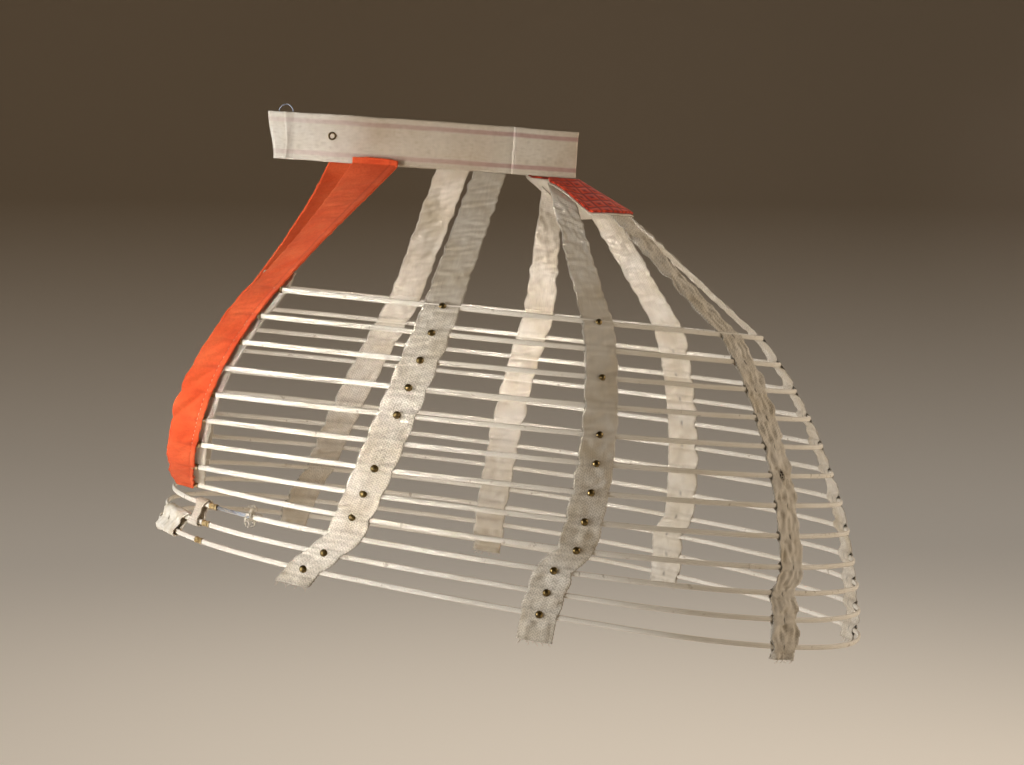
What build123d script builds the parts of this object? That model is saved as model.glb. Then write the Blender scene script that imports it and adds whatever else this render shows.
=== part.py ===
from build123d import *
import os
from math import asin, atan2, ceil, cos, degrees, hypot, radians, sin, sqrt

os.makedirs("parts", exist_ok=True)

# Crinoline cage of a girl's size, in millimetres.
# +X is the wearer's back, -Y the wearer's left, +Z up. The origin is the middle of the waistband.
left = -1
right = 1
side_names = {left: "left", right: "right"}

# Hoops: flat spring steel in a cotton braid, counted from the top
hoop_count = 12
open_hoop_count = 9
hoop_height = 3.6
hoop_thickness = 2.2
top_hoop_depth = 118.4
open_hoop_pitch = 18.7
closed_hoop_pitch = 14.6
top_tilt = 5.9
bottom_tilt = 10.4
top_roll = 0.75
top_half_width = 147.5
bottom_half_width = 192.0
top_back_reach = 261.5
bottom_back_reach = 341.0
# How much further a hoop runs back from its widest place than half its width
top_back_stretch = 159.0
bottom_back_stretch = 27.0
top_back_radius = 60.0
bottom_back_radius = 125.0
top_front_reach = 113.0
open_front_reach = 170.5
top_front_tuck = 15.0
open_front_tuck = 107.0
closed_front_reach = 188.0
bottom_front_reach = 199.0
# How much tighter the front of a closed hoop is than half its width
closed_front_tightening = 26.0
hoop_end_gap = 0.6
hoop_chord_angle = 7.5

# Tapes: double-woven, with a pocket for each hoop between the two plies
tape_width = 25.0
tape_scallop = 2.0
tape_ply = 0.6
tape_pucker = 1.6
tape_tail = 9.0
tape_hem_thickness = 2.4
tape_tuck = 6.0
pocket_clearance = 0.15
sewing_gap = 0.2
# Where each tape crosses the top hoop, the last open one, the first closed one and the bottom one,
# and how far it bows back from a straight run over the open hoops
left_front_stations = [-2.0, -64.0, -69.0, -97.0]
left_front_bow = -3.0
right_front_stations = [-2.0, -72.5, -82.0, -95.0]
right_front_bow = -1.0
left_side_stations = [110.0, 82.0, 67.0, 58.0]
left_side_bow = 5.0
right_side_stations = [108.0, 81.5, 78.0, 75.0]
right_side_bow = -1.0
# The same for the back tapes, measured forwards from the furthest back of each hoop
left_back_setbacks = [39.5, 87.0, 101.0, 105.0]
left_back_bow = 1.0
right_back_setbacks = [55.0, 101.0, 111.5, 112.0]
right_back_bow = 3.0
centre_back_setbacks = [0.0, 0.0, 0.0, 0.0]
left_front_tape_place = 49.0
right_front_tape_place = 26.0

# Waistband: a woven strip that hangs as a flattened loop, creased at both ends
band_half_length = 116.5
band_bulge = 26.0
band_height = 34.5
band_thickness = 1.4
band_lap_gap = 0.1
band_fall = 3.2
band_roll = 4.0
band_front_place = -104.0
band_wrap_place = -92.0
band_seam_place = 65.0
band_lap = 10.0
eyelet_place = -69.0
eyelet_rise = 1.5
eyelet_bore_radius = 1.8
eyelet_wall = 0.35
eyelet_flange_width = 0.9
eyelet_flange_thickness = 0.4
hook_wire_width = 0.8
hook_loop_radius = 5.5
hook_leg = 7.0
hook_place = -103.0

# Back yoke: a quilted collar between the waistband and the back tapes
yoke_top_radius = 5.0
yoke_top_setback = 7.0
yoke_half_width = 39.5
yoke_drop = 25.5
yoke_front_run = 30.0
yoke_front_half_width = 20.0
yoke_front_drop = 4.0
yoke_thickness = 1.8
lining_thickness = 0.8
back_tape_angle = 48.0
fold_shares = [-1.5, -0.5, 0.5, 1.5]
side_tape_share = 0.45
back_tape_share = 0.5

# Front straps: folded wool, with the hoop ends held between strap and lining
strap_width = 21.0
strap_top_width = 33.0
strap_thickness = 1.4
strap_overlap = 3.0
strap_lap = 8.0
strap_tail = 9.0
strap_pucker = 1.2
strap_lining_width = 20.0
strap_lining_overlap = 8.0
strap_lining_tail = 5.0
left_strap_place = -37.0
right_strap_place = -52.0
clip_length = 5.0
clip_wall = 0.4
clip_clearance = 0.1
bare_left_end = 4

# Studs, crimps and the wrappings at the front of the lowest hoops
stud_diameter = 4.9
stud_height = 1.2
stud_sides = 6
crimp_length = 9.0
crimp_wall = 0.6
crimp_angle = 35.5
bare_steel_height = 2.4
bare_steel_thickness = 0.5
bare_steel_angle = 49.0
tie_width = 14.0
tie_angle = 31.0
tie_spans = 1
binding_width = 50.0
binding_angle = 18.0
binding_spans = 3
wrap_thickness = 0.8
wrap_clearance = 0.4

band_radius = (band_half_length**2 + band_bulge**2) / (2 * band_bulge)
band_centre = band_radius - band_bulge
band_lap_step = band_thickness + band_lap_gap
tape_thickness = 2 * tape_ply
pocket_half_height = hoop_height / 2 + pocket_clearance + tape_ply
clip_depth = hoop_thickness + 2 * (clip_clearance + clip_wall)
clip_half_height = hoop_height / 2 + clip_clearance + clip_wall + sewing_gap


def between(first, last, share):
    return first + (last - first) * share


def side_radius(length, half_width, end_radius):
    # Radius of a side arc that runs smoothly into the end arc
    return ((length - end_radius) ** 2 + half_width**2 - end_radius**2) / (2 * (half_width - end_radius))


def meeting_angle(length, half_width, end_radius):
    return degrees(atan2(side_radius(length, half_width, end_radius) - half_width, length - end_radius))


def chords(centre, radius, start, turn):
    # An arc laid in chords, so that a long hoop has few faces
    count = ceil(turn / hoop_chord_angle)
    angles = [radians(start + turn * step / count) for step in range(count + 1)]
    Polyline([(centre[0] + radius * cos(angle), centre[1] + radius * sin(angle)) for angle in angles])


def strip(plane, draw, height, thickness):
    # A strip on edge, bent along the line that draw lays at a distance either side of its middle
    with BuildSketch(plane) as outline:
        with BuildLine():
            outer = draw(thickness / 2)
            inner = draw(-thickness / 2)
            Line(outer[0], inner[0])
            Line(outer[1], inner[1])
        make_face()
    extrude(outline.sketch, amount=height / 2, both=True)


def cloth(stops):
    # A length of cloth through stops of middle, width direction, outward direction, width and thickness
    rings = []
    for middle, across, outward, width, thickness in stops:
        half_width = across * (width / 2)
        half_depth = outward * (thickness / 2)
        corners = (half_width + half_depth, half_depth - half_width, -half_width - half_depth, half_width - half_depth)
        rings.append([middle + corner for corner in corners])
    faces = [Face(Wire.make_polygon(rings[0])), Face(Wire.make_polygon(rings[-1]))]
    # Each side is two flat triangles, because the cloth twists from stop to stop, and opposite sides fold alike
    for upper, lower in zip(rings, rings[1:]):
        for side in range(len(upper)):
            a, b, c, d = upper[side - 1], upper[side], lower[side], lower[side - 1]
            halves = ((a, b, c), (a, c, d)) if side < 2 else ((b, c, d), (b, d, a))
            faces += [Face(Wire.make_polygon(half)) for half in halves]
    add(Solid(Shell(faces)))


def sleeve(middle, along, outward, length, wall):
    # A straight sleeve round a hoop
    with BuildSketch(Plane(origin=middle, x_dir=outward, z_dir=along)) as section:
        bore_thickness = hoop_thickness + 2 * clip_clearance
        bore_height = hoop_height + 2 * clip_clearance
        Rectangle(bore_thickness + 2 * wall, bore_height + 2 * wall)
        Rectangle(bore_thickness, bore_height, mode=Mode.SUBTRACT)
    extrude(section.sketch, amount=length / 2, both=True)


def write(name, piece):
    piece.part.label = name
    export_step(piece.part, f"parts/{name}.step")


class Hoop:
    # The slope of one hoop and the arcs of its outline, from its place in the nest
    def __init__(self, index):
        fall = index / (hoop_count - 1)
        below = max(index - open_hoop_count + 1, 0)
        depth = top_hoop_depth + (index - below) * open_hoop_pitch + below * closed_hoop_pitch
        tilt = radians(between(top_tilt, bottom_tilt, fall**2))
        roll = radians(top_roll * (1 - fall) ** 1.5)
        upward = Vector(sin(tilt) * cos(roll), -sin(roll), cos(tilt) * cos(roll))
        self.fall = fall
        self.closed = below > 0
        # The share of the way down the open hoops, or down the closed ones
        self.share = index / (open_hoop_count - 1)
        if self.closed:
            self.share = (below - 1) / max(hoop_count - open_hoop_count - 1, 1)
        self.plane = Plane(origin=(0, 0, -depth), x_dir=(cos(tilt), 0, -sin(tilt)), z_dir=upward)
        self.half_width = between(bottom_half_width, top_half_width, (1 - fall) ** 4)
        self.back_reach = between(bottom_back_reach, top_back_reach, (1 - fall) ** 2)
        self.back_radius = between(top_back_radius, bottom_back_radius, fall)
        back_length = self.half_width + between(top_back_stretch, bottom_back_stretch, fall**1.4)
        self.widest = self.back_reach - back_length
        self.side_radius = side_radius(back_length, self.half_width, self.back_radius)
        self.back_angle = meeting_angle(back_length, self.half_width, self.back_radius)
        self.back_middle = self.back_reach - self.back_radius
        self.back_start = self.back_middle + self.back_radius * cos(radians(self.back_angle))
        if self.closed:
            self.front_reach = between(closed_front_reach, bottom_front_reach, self.share)
            front_length = self.front_reach + self.widest
            self.nose_radius = self.half_width - closed_front_tightening
            self.front_side_radius = side_radius(front_length, self.half_width, self.nose_radius)
            self.front_angle = meeting_angle(front_length, self.half_width, self.nose_radius)
            self.front_turn = 90 - self.front_angle
            self.nose_middle = self.nose_radius - self.front_reach
            self.nose_start = self.nose_middle - self.nose_radius * cos(radians(self.front_angle))
            self.first_angle = crimp_angle + degrees(hoop_end_gap / self.nose_radius)
        else:
            self.front_reach = between(open_front_reach, top_front_reach, (1 - self.share) ** 2.2)
            front_length = self.front_reach + self.widest
            tuck = between(top_front_tuck, open_front_tuck, self.share**5)
            self.front_side_radius = (front_length**2 + tuck**2) / (2 * tuck)
            self.front_turn = degrees(asin(front_length / self.front_side_radius))

    def arcs(self, spread):
        # Lays the outline at a distance outside the middle line, from the left front to the right front
        half = self.half_width
        side = self.side_radius
        front = self.front_side_radius
        turn = 90 - self.back_angle
        if self.closed:
            first = self.nose_arc(self.first_angle, self.front_angle)(spread)
        left_front = CenterArc((self.widest, front - half), front + spread, 270 - self.front_turn, self.front_turn)
        chords((self.widest, side - half), side + spread, 270, turn)
        chords((self.back_middle, 0), self.back_radius + spread, -self.back_angle, 2 * self.back_angle)
        chords((self.widest, half - side), side + spread, self.back_angle, turn)
        right_front = CenterArc((self.widest, half - front), front + spread, 90, self.front_turn)
        if self.closed:
            last = self.nose_arc(-self.front_angle, crimp_angle)(spread)
            return first[0], last[1]
        return left_front @ 0, right_front @ 1

    def nose_arc(self, first_angle, last_angle):
        # Part of a closed hoop's front, between two angles from its middle, the left side counted up
        def draw(spread):
            middle = (self.nose_middle, 0)
            arc = CenterArc(middle, self.nose_radius + spread, 180 + first_angle, last_angle - first_angle)
            return arc @ 0, arc @ 1
        return draw

    def nose_place(self, angle):
        return self.on_arc((self.nose_middle, 0), self.nose_radius, -cos(radians(angle)), left)

    def place(self, station, side):
        # A point of the middle line, with the directions towards the back and outwards
        centre, radius = (self.widest, side * (self.half_width - self.front_side_radius)), self.front_side_radius
        if station >= self.widest:
            centre, radius = (self.widest, side * (self.half_width - self.side_radius)), self.side_radius
        if station >= self.back_start:
            centre, radius = (self.back_middle, 0), self.back_radius
        if self.closed and station <= self.nose_start:
            centre, radius = (self.nose_middle, 0), self.nose_radius
        return self.on_arc(centre, radius, (station - centre[0]) / radius, side)

    def on_arc(self, centre, radius, lean, side):
        rise = side * sqrt(1 - min(lean * lean, 1))
        point = self.plane.from_local_coords((centre[0] + radius * lean, centre[1] + radius * rise, 0))
        outward = self.plane.x_dir * lean + self.plane.y_dir * rise
        backward = (self.plane.x_dir * rise - self.plane.y_dir * lean) * side
        return point, backward, outward

    def crossing(self, stations, bow):
        # Where a tape crosses this hoop, from where it crosses the first and last open and closed ones
        top, last_open, first_closed, bottom = stations
        if self.closed:
            return between(first_closed, bottom, self.share)
        return between(top, last_open, self.share) + 4 * bow * self.share * (1 - self.share)

    def bow(self, station):
        # How far the hoop bows out within the width of a tape, and how far its chords cut in
        radius = min(self.side_radius, self.front_side_radius)
        if station + tape_width / 2 >= self.back_start:
            radius = self.back_radius
        if self.closed and station - tape_width / 2 <= self.nose_start:
            radius = self.nose_radius
        return tape_width**2 / (8 * radius) + radius * (1 - cos(radians(hoop_chord_angle / 2)))

    def end(self, side):
        return self.place(-self.front_reach, side)


hoops = [Hoop(index) for index in range(hoop_count)]
open_hoops = hoops[:open_hoop_count]
closed_hoops = hoops[open_hoop_count:]
broken_hoop = closed_hoops[0]

# Hoops, with the bare stretch of steel where the braid of the uppermost closed hoop is gone
bare_stretch = broken_hoop.nose_arc(broken_hoop.first_angle, bare_steel_angle)
broken_hoop.first_angle = bare_steel_angle
for index, hoop in enumerate(hoops):
    with BuildPart() as braided_hoop:
        strip(hoop.plane, hoop.arcs, hoop_height, hoop_thickness)
    write(f"hoop_{index + 1:02d}", braided_hoop)

with BuildPart() as bare_steel:
    strip(broken_hoop.plane, bare_stretch, bare_steel_height, bare_steel_thickness)
write("hoop_10_bare_steel", bare_steel)

# Crimps over the joints of the closed hoops
with BuildPart() as crimps:
    for hoop in closed_hoops:
        sleeve(*hoop.nose_place(crimp_angle), crimp_length, crimp_wall)
write("hoop_joint_crimps", crimps)


def band_spot(side, radius, place):
    # A point of the waistband's arc on one side, in its own plane
    return place, side * (sqrt(radius**2 - place**2) - band_centre)


def band_arc(side, radius, first_place, last_place):
    middle = (first_place + last_place) / 2
    spots = [band_spot(side, radius, place) for place in (first_place, middle, last_place)]
    return ThreePointArc(*spots)


def crease(end, left_radius, right_radius):
    # How far along an end of the loop its two arcs cross
    drift = (right_radius**2 - left_radius**2) / (4 * band_centre)
    return end * sqrt(right_radius**2 - (drift + band_centre) ** 2)


def folded_strip(end, left_radius, right_radius, left_place, right_place):
    # Draws a strip that goes round one crease of the loop, from its left end to its right end
    def draw(spread):
        tip = crease(end, left_radius + spread, right_radius + spread)
        first = band_arc(left, left_radius + spread, left_place, tip)
        last = band_arc(right, right_radius + spread, tip, right_place)
        return first @ 0, last @ 1
    return draw


def band_frame(side, place, radius, rise):
    # A point on the waistband with the directions towards the back and outwards
    lean = place / radius
    outward = band_plane.x_dir * lean + band_plane.y_dir * (side * sqrt(1 - lean**2))
    backward = band_plane.x_dir * sqrt(1 - lean**2) - band_plane.y_dir * (side * lean)
    spot = band_spot(side, radius, place)
    return band_plane.from_local_coords((spot[0], spot[1], rise)), backward, outward


# Waistband in three lengths, the back one lapped over the ends of the front two
band_plane = Plane.XY.rotated((band_roll, band_fall, 0))
back_band_radius = band_radius + band_lap_step
lap_place = band_seam_place + band_lap
eyelet_hole_radius = eyelet_bore_radius + eyelet_wall + band_lap_gap
eyelet_point, eyelet_across, eyelet_axis = band_frame(left, eyelet_place, band_radius, eyelet_rise)
eyelet_plane = Plane(origin=eyelet_point, x_dir=eyelet_across, z_dir=eyelet_axis)


def left_run(spread):
    arc = band_arc(left, band_radius + spread, band_front_place, lap_place)
    return arc @ 0, arc @ 1


with BuildPart() as left_band:
    strip(band_plane, left_run, band_height, band_thickness)
    with BuildSketch(eyelet_plane):
        Circle(eyelet_hole_radius)
    extrude(amount=2 * band_thickness, both=True, mode=Mode.SUBTRACT)
write("waistband_left", left_band)

with BuildPart() as right_band:
    right_run = folded_strip(-1, band_radius - band_lap_step, band_radius, band_wrap_place, lap_place)
    strip(band_plane, right_run, band_height, band_thickness)
write("waistband_right", right_band)

with BuildPart() as back_band:
    back_run = folded_strip(1, back_band_radius, back_band_radius, band_seam_place, band_seam_place)
    strip(band_plane, back_run, band_height, band_thickness)
write("waistband_back", back_band)

# Eyelet set in the left front
flange_seat = band_thickness / 2 + band_lap_gap
with BuildPart() as eyelet:
    with BuildSketch(eyelet_plane):
        Circle(eyelet_bore_radius + eyelet_wall)
        Circle(eyelet_bore_radius, mode=Mode.SUBTRACT)
    extrude(amount=flange_seat, both=True)
    for face in (left, right):
        with BuildSketch(eyelet_plane.offset(face * flange_seat)):
            Circle(eyelet_bore_radius + eyelet_wall + eyelet_flange_width)
            Circle(eyelet_bore_radius, mode=Mode.SUBTRACT)
        extrude(amount=face * eyelet_flange_thickness)
write("waistband_eyelet", eyelet)

# Wire hook sewn inside the right front's turned end, its loop standing over the top edge
hook_radius = band_radius - band_lap_step - band_thickness / 2 - sewing_gap - hook_wire_width / 2
hook_point, hook_across, hook_outward = band_frame(left, hook_place, hook_radius, band_height / 2)


def hook_bend(spread):
    reach = hook_loop_radius + spread
    first = Line((-reach, -hook_leg), (-reach, 0))
    ThreePointArc((-reach, 0), (0, reach), (reach, 0))
    last = Line((reach, 0), (reach, -hook_leg))
    return first @ 0, last @ 1


with BuildPart() as hook:
    hook_plane = Plane(origin=hook_point, x_dir=hook_across, z_dir=hook_across.cross(band_plane.z_dir))
    strip(hook_plane, hook_bend, hook_wire_width, hook_wire_width)
write("waistband_hook", hook)

# Back yoke: flat panels folded round the waistband's back crease, with a wing along each side of it
band_tip = crease(1, back_band_radius + band_thickness / 2, back_band_radius + band_thickness / 2)
band_corner = band_plane.from_local_coords((band_tip, -yoke_top_radius, -band_height / 2))
yoke_tip = Vector(band_corner.X, 0, band_corner.Z - sewing_gap)


def back_fold(angle):
    # Upper and lower end of a fold line behind the crease
    across = Vector(cos(radians(angle)), sin(radians(angle)), 0)
    upper = yoke_tip + across * yoke_top_radius - Vector(yoke_top_setback, 0, 0)
    return upper, yoke_tip + across * yoke_half_width - Vector(0, 0, yoke_drop)


def wing_edge(side):
    # Upper and lower end of a wing's front edge, in one plane with its fold
    upper, lower = back_fold(side * 90)
    spot = band_spot(side, back_band_radius, band_tip - yoke_front_run)
    seam = band_plane.from_local_coords((*spot, -band_height / 2)) - Vector(0, 0, sewing_gap)
    corner = Vector(seam.X, side * yoke_front_half_width, seam.Z - yoke_front_drop)
    facing = (lower - upper).cross(seam - upper).normalized()
    return seam, corner - facing * (corner - upper).dot(facing)


yoke_folds = [wing_edge(left), back_fold(-90)]
yoke_folds += [back_fold(back_tape_angle * share) for share in fold_shares]
yoke_folds += [back_fold(90), wing_edge(right)]
yoke_panels = list(zip(yoke_folds, yoke_folds[1:]))


def panel_plane(panel, sink):
    # The plane of a panel, sunk inwards from its outer face, with its x along the lower edge
    (upper, lower), (last_upper, last_lower) = panel
    facing = (last_lower - lower).cross(upper - lower).normalized()
    return Plane(origin=lower - facing * sink, x_dir=last_lower - lower, z_dir=facing)


def yoke_layer(sink, thickness):
    for panel in yoke_panels:
        plane = panel_plane(panel, sink)
        (upper, lower), (last_upper, last_lower) = panel
        # A wing laps a little into the panel behind it, because that fold is hollow
        lap = plane.x_dir * ((sink + thickness) / 2)
        first_lap = lap if panel is yoke_panels[-1] else lap * 0
        last_lap = lap if panel is yoke_panels[0] else lap * 0
        with BuildSketch(plane) as outline:
            with BuildLine():
                points = (upper - first_lap, lower - first_lap, last_lower + last_lap, last_upper + last_lap)
                corners = [plane.to_local_coords(point) for point in points]
                Polyline([(point.X, point.Y) for point in corners], close=True)
            make_face()
        extrude(outline.sketch, amount=-thickness)


lining_sink = yoke_thickness + 2 * sewing_gap
with BuildPart() as yoke:
    yoke_layer(0, yoke_thickness)
write("back_yoke", yoke)
with BuildPart() as yoke_lining:
    yoke_layer(lining_sink, lining_thickness)
write("back_yoke_lining", yoke_lining)
tape_sink = lining_sink + lining_thickness + sewing_gap + tape_thickness / 2


def band_top(side, place):
    # Stops of a tape sewn inside the waistband, down to its lower edge
    radius = band_radius - band_thickness / 2 - sewing_gap - tape_thickness / 2 - tape_width**2 / (8 * band_radius)
    stops = []
    for rise in (tape_tuck, -sewing_gap):
        stops.append((*band_frame(side, place, radius, rise - band_height / 2), tape_width, tape_thickness))
    return stops


def panel_top(panel, side, share):
    # Stops of a tape sewn under the lower edge of a yoke panel
    plane = panel_plane(panel, tape_sink)
    edge = plane.origin + (panel[1][1] - panel[0][1]) * share
    across = plane.x_dir * -side
    return [(edge + plane.y_dir * tuck, across, plane.z_dir, tape_width, tape_thickness) for tuck in (tape_tuck, 0)]


class Tape:
    # One tape, from its sewn top through a pocket for each hoop to its hem
    def __init__(self, top, side, stations, bow, from_back=False):
        self.stops = list(top)
        self.pockets = []
        for hoop in hoops:
            station = hoop.crossing(stations, bow)
            if from_back:
                station = hoop.back_reach - station
            point, across, outward = hoop.place(station, side)
            room = hoop_thickness + 2 * pocket_clearance + hoop.bow(station)
            depth = room + tape_thickness
            middle = point - outward * (hoop.bow(station) / 2)
            if self.pockets:
                self.puff(middle + hoop.plane.z_dir * pocket_half_height)
            for rise in (pocket_half_height, -pocket_half_height):
                self.stops.append((middle + hoop.plane.z_dir * rise, across, outward, tape_width, depth))
            self.pockets.append((middle, across, outward, room, depth))
        middle, across, outward, width, depth = self.stops[-1]
        hem = middle - hoops[-1].plane.z_dir * tape_tail
        self.stops.append((hem, across, outward, tape_width, tape_hem_thickness))

    def puff(self, below):
        # A stop midway between two pockets, wider and puffed outwards
        above, across, outward, width, depth = self.stops[-1]
        middle = (above + below) / 2 + outward * tape_pucker
        self.stops.append((middle, across, outward, tape_width + tape_scallop, tape_thickness))

    def build(self):
        cloth(self.stops)
        for middle, across, outward, room, depth in self.pockets:
            with BuildSketch(Plane(origin=middle, x_dir=outward, z_dir=across)) as tunnel:
                Rectangle(room, hoop_height + 2 * pocket_clearance)
            extrude(tunnel.sketch, amount=tape_width, both=True, mode=Mode.SUBTRACT)

    def stud(self, hoop_number):
        middle, across, outward, room, depth = self.pockets[hoop_number - 1]
        with BuildSketch(Plane(origin=middle + outward * (depth / 2), x_dir=across, z_dir=outward)) as foot:
            RegularPolygon(stud_diameter / 2, stud_sides)
        extrude(foot.sketch, amount=stud_height)


tapes = {
    "left_front": Tape(band_top(left, left_front_tape_place), left, left_front_stations, left_front_bow),
    "left_side": Tape(panel_top(yoke_panels[0], left, side_tape_share), left, left_side_stations, left_side_bow),
    "left_back": Tape(panel_top(yoke_panels[2], left, back_tape_share), left,
                      left_back_setbacks, left_back_bow, from_back=True),
    "centre_back": Tape(panel_top(yoke_panels[3], left, back_tape_share), left,
                        centre_back_setbacks, 0, from_back=True),
    "right_back": Tape(panel_top(yoke_panels[4], right, back_tape_share), right,
                       right_back_setbacks, right_back_bow, from_back=True),
    "right_side": Tape(panel_top(yoke_panels[6], right, 1 - side_tape_share), right,
                       right_side_stations, right_side_bow),
    "right_front": Tape(band_top(right, right_front_tape_place), right, right_front_stations, right_front_bow),
}
for place, tape in tapes.items():
    with BuildPart() as woven_tape:
        tape.build()
    write(f"tape_{place}", woven_tape)

# Studs through the front and side tapes, but for those that are lost, by the number of their hoop
lost_studs = {"left_front": (6, 10), "left_side": (2, 4), "right_front": (), "right_side": ()}
for place, lost in lost_studs.items():
    with BuildPart() as stud_row:
        for hoop_number in range(1, hoop_count + 1):
            if hoop_number not in lost:
                tapes[place].stud(hoop_number)
    write(f"studs_{place}", stud_row)


def end_stops(hoop, side, shift, reach, width, thickness):
    # Two stops where a strap or its lining passes over the end of an open hoop
    point, backward, outward = hoop.end(side)
    middle = point + outward * shift - backward * reach
    rise = hoop.plane.z_dir * clip_half_height
    return [(middle + step, backward, outward, width, thickness) for step in (rise, -rise)]


def tail(stops, length):
    # A stop that carries the last one on downwards
    middle, across, outward, width, thickness = stops[-1]
    return middle - open_hoops[-1].plane.z_dir * length, across, outward, width, thickness


def strap_stops(side, place):
    outer_radius = band_radius + band_thickness / 2 + sewing_gap + strap_thickness / 2
    shift = clip_depth / 2 + sewing_gap + strap_thickness / 2
    stops = []
    for rise in (strap_lap, -sewing_gap):
        frame = band_frame(side, place, outer_radius, rise - band_height / 2)
        stops.append((*frame, strap_top_width, strap_thickness))
    for hoop in open_hoops:
        pair = end_stops(hoop, side, shift, strap_width / 2 - strap_overlap, strap_width, strap_thickness)
        if hoop is not open_hoops[0]:
            above, across, outward, *rest = stops[-1]
            middle = (above + pair[0][0]) / 2 + outward * strap_pucker
            stops.append((middle, across, outward, strap_width, strap_thickness))
        stops += pair
    return stops + [tail(stops, strap_tail)]


def lining_stops(side):
    shift = clip_depth / 2 + sewing_gap + lining_thickness / 2
    reach = strap_lining_width / 2 - strap_lining_overlap
    stops = []
    for hoop in open_hoops:
        stops += end_stops(hoop, side, -shift, reach, strap_lining_width, lining_thickness)
    return stops + [tail(stops, strap_lining_tail)]


# Front straps and linings, with the clips on the hoop ends between them
strap_places = {left: left_strap_place, right: right_strap_place}
for side, place in strap_places.items():
    with BuildPart() as strap:
        cloth(strap_stops(side, place))
    write(f"front_strap_{side_names[side]}", strap)
    with BuildPart() as strap_lining:
        cloth(lining_stops(side))
    write(f"front_strap_lining_{side_names[side]}", strap_lining)
    with BuildPart() as clips:
        for number, hoop in enumerate(open_hoops):
            if side == right or number + 1 != bare_left_end:
                end, backward, outward = hoop.end(side)
                sleeve(end + backward * (clip_length / 2), backward, outward, clip_length, clip_wall)
    write(f"hoop_end_clips_{side_names[side]}", clips)


def wrap(upper, lower, angle, width, spans):
    # A band of stuff sewn round two closed hoops near the middle of their front
    bore = hypot(hoop_height, hoop_thickness) / 2 + wrap_clearance
    half_turn = degrees(width / upper.nose_radius) / 2
    for radius, mode in ((bore + wrap_thickness, Mode.ADD), (bore, Mode.SUBTRACT)):
        sections = []
        for span in range(spans + 1):
            turn = between(angle - half_turn, angle + half_turn, span / spans)
            top, along, outward = upper.nose_place(turn)
            foot = lower.nose_place(turn)[0]
            with BuildSketch(Plane(origin=(top + foot) / 2, x_dir=top - foot, z_dir=along)) as section:
                Rectangle((top - foot).length + 2 * radius, 2 * radius)
            sections.append(section.sketch)
        loft(sections, ruled=True, mode=mode)


# Tape tie and kid binding that hold the closed hoops together at the front
with BuildPart() as tie:
    wrap(closed_hoops[0], closed_hoops[1], tie_angle, tie_width, tie_spans)
write("front_tie", tie)
with BuildPart() as binding:
    wrap(closed_hoops[1], closed_hoops[2], binding_angle, binding_width, binding_spans)
write("front_binding", binding)
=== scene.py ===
import bpy
import bmesh
from math import acos, asin, atan2, copysign, cos, degrees, pi, radians, sin, sqrt
from mathutils import Matrix, Vector, noise


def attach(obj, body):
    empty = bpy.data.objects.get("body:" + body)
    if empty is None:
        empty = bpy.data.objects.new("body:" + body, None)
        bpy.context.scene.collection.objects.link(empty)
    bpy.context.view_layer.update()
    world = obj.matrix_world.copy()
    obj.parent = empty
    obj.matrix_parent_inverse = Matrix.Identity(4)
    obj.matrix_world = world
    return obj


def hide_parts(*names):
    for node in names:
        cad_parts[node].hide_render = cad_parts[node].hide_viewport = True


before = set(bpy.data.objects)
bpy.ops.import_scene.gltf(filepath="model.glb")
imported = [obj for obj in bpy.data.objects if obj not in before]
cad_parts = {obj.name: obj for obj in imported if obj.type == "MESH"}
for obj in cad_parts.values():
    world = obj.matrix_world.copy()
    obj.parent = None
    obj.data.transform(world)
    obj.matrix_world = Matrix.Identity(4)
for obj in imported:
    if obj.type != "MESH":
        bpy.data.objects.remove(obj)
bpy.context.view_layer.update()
print("frame loaded,", len(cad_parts), "nodes")

# Pieces are worked out in millimetres, as the frame's own sizes are, and turned to metres at the end
metre = 0.001
left, right = -1, 1
sideNames = {left: "left", right: "right"}


def mix(first, last, share):
    return first + (last - first) * share


def ease(share):
    share = min(max(share, 0), 1)
    return share * share * (3 - 2 * share)


def swell(distance, flat, fade):
    # 1 within flat of the middle, falling to 0 over fade
    return 1 - ease((abs(distance) - flat) / fade)


def waver(x, y=0.0, z=0.0):
    # Smooth unevenness from -1 to 1, the same on every run
    return noise.noise(Vector((x, y, z)))


# Materials
def linear(code):
    parts = [int(code[i:i + 2], 16) / 255 for i in (1, 3, 5)]
    return [p / 12.92 if p <= 0.04045 else ((p + 0.055) / 1.055) ** 2.4 for p in parts] + [1]


def addNode(tree, kind, settings, output=0):
    # A node whose settings are set or, where they are sockets, linked; gives one of its outputs
    node = tree.nodes.new("ShaderNode" + kind)
    for key, value in settings.items():
        if key == "stops":
            while len(node.color_ramp.elements) < len(value):
                node.color_ramp.elements.new(0.5)
            for element, (place, code) in zip(node.color_ramp.elements, value):
                element.position = place
                element.color = linear(code)
        elif isinstance(value, bpy.types.NodeSocket):
            tree.links.new(value, node.inputs[key])
        elif isinstance(key, int) or key in node.inputs:
            node.inputs[key].default_value = linear(value) if isinstance(value, str) else value
        else:
            setattr(node, key, value)
    return node.outputs[output]


def newMaterial(name, settings):
    material = bpy.data.materials.new(name)
    material.use_nodes = True
    shader = material.node_tree.nodes["Principled BSDF"]
    for key, value in settings.items():
        shader.inputs[key].default_value = value
    return material, material.node_tree, shader


def cutPlace(tree):
    # Millimetres across and along the flat cut
    split = addNode(tree, "SeparateXYZ", {"Vector": addNode(tree, "UVMap", {"uv_map": "cut"})})
    return split, split.node.outputs["Y"]


def patches(tree, spacing, detail=4.0):
    # Uneven tone over the piece, in patches of a spacing in millimetres
    place = addNode(tree, "TexCoord", {}, "Object")
    return addNode(tree, "TexNoise",
                   {"Vector": place, "Scale": 1 / (spacing * metre), "Detail": detail, "Roughness": 0.6})


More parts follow.
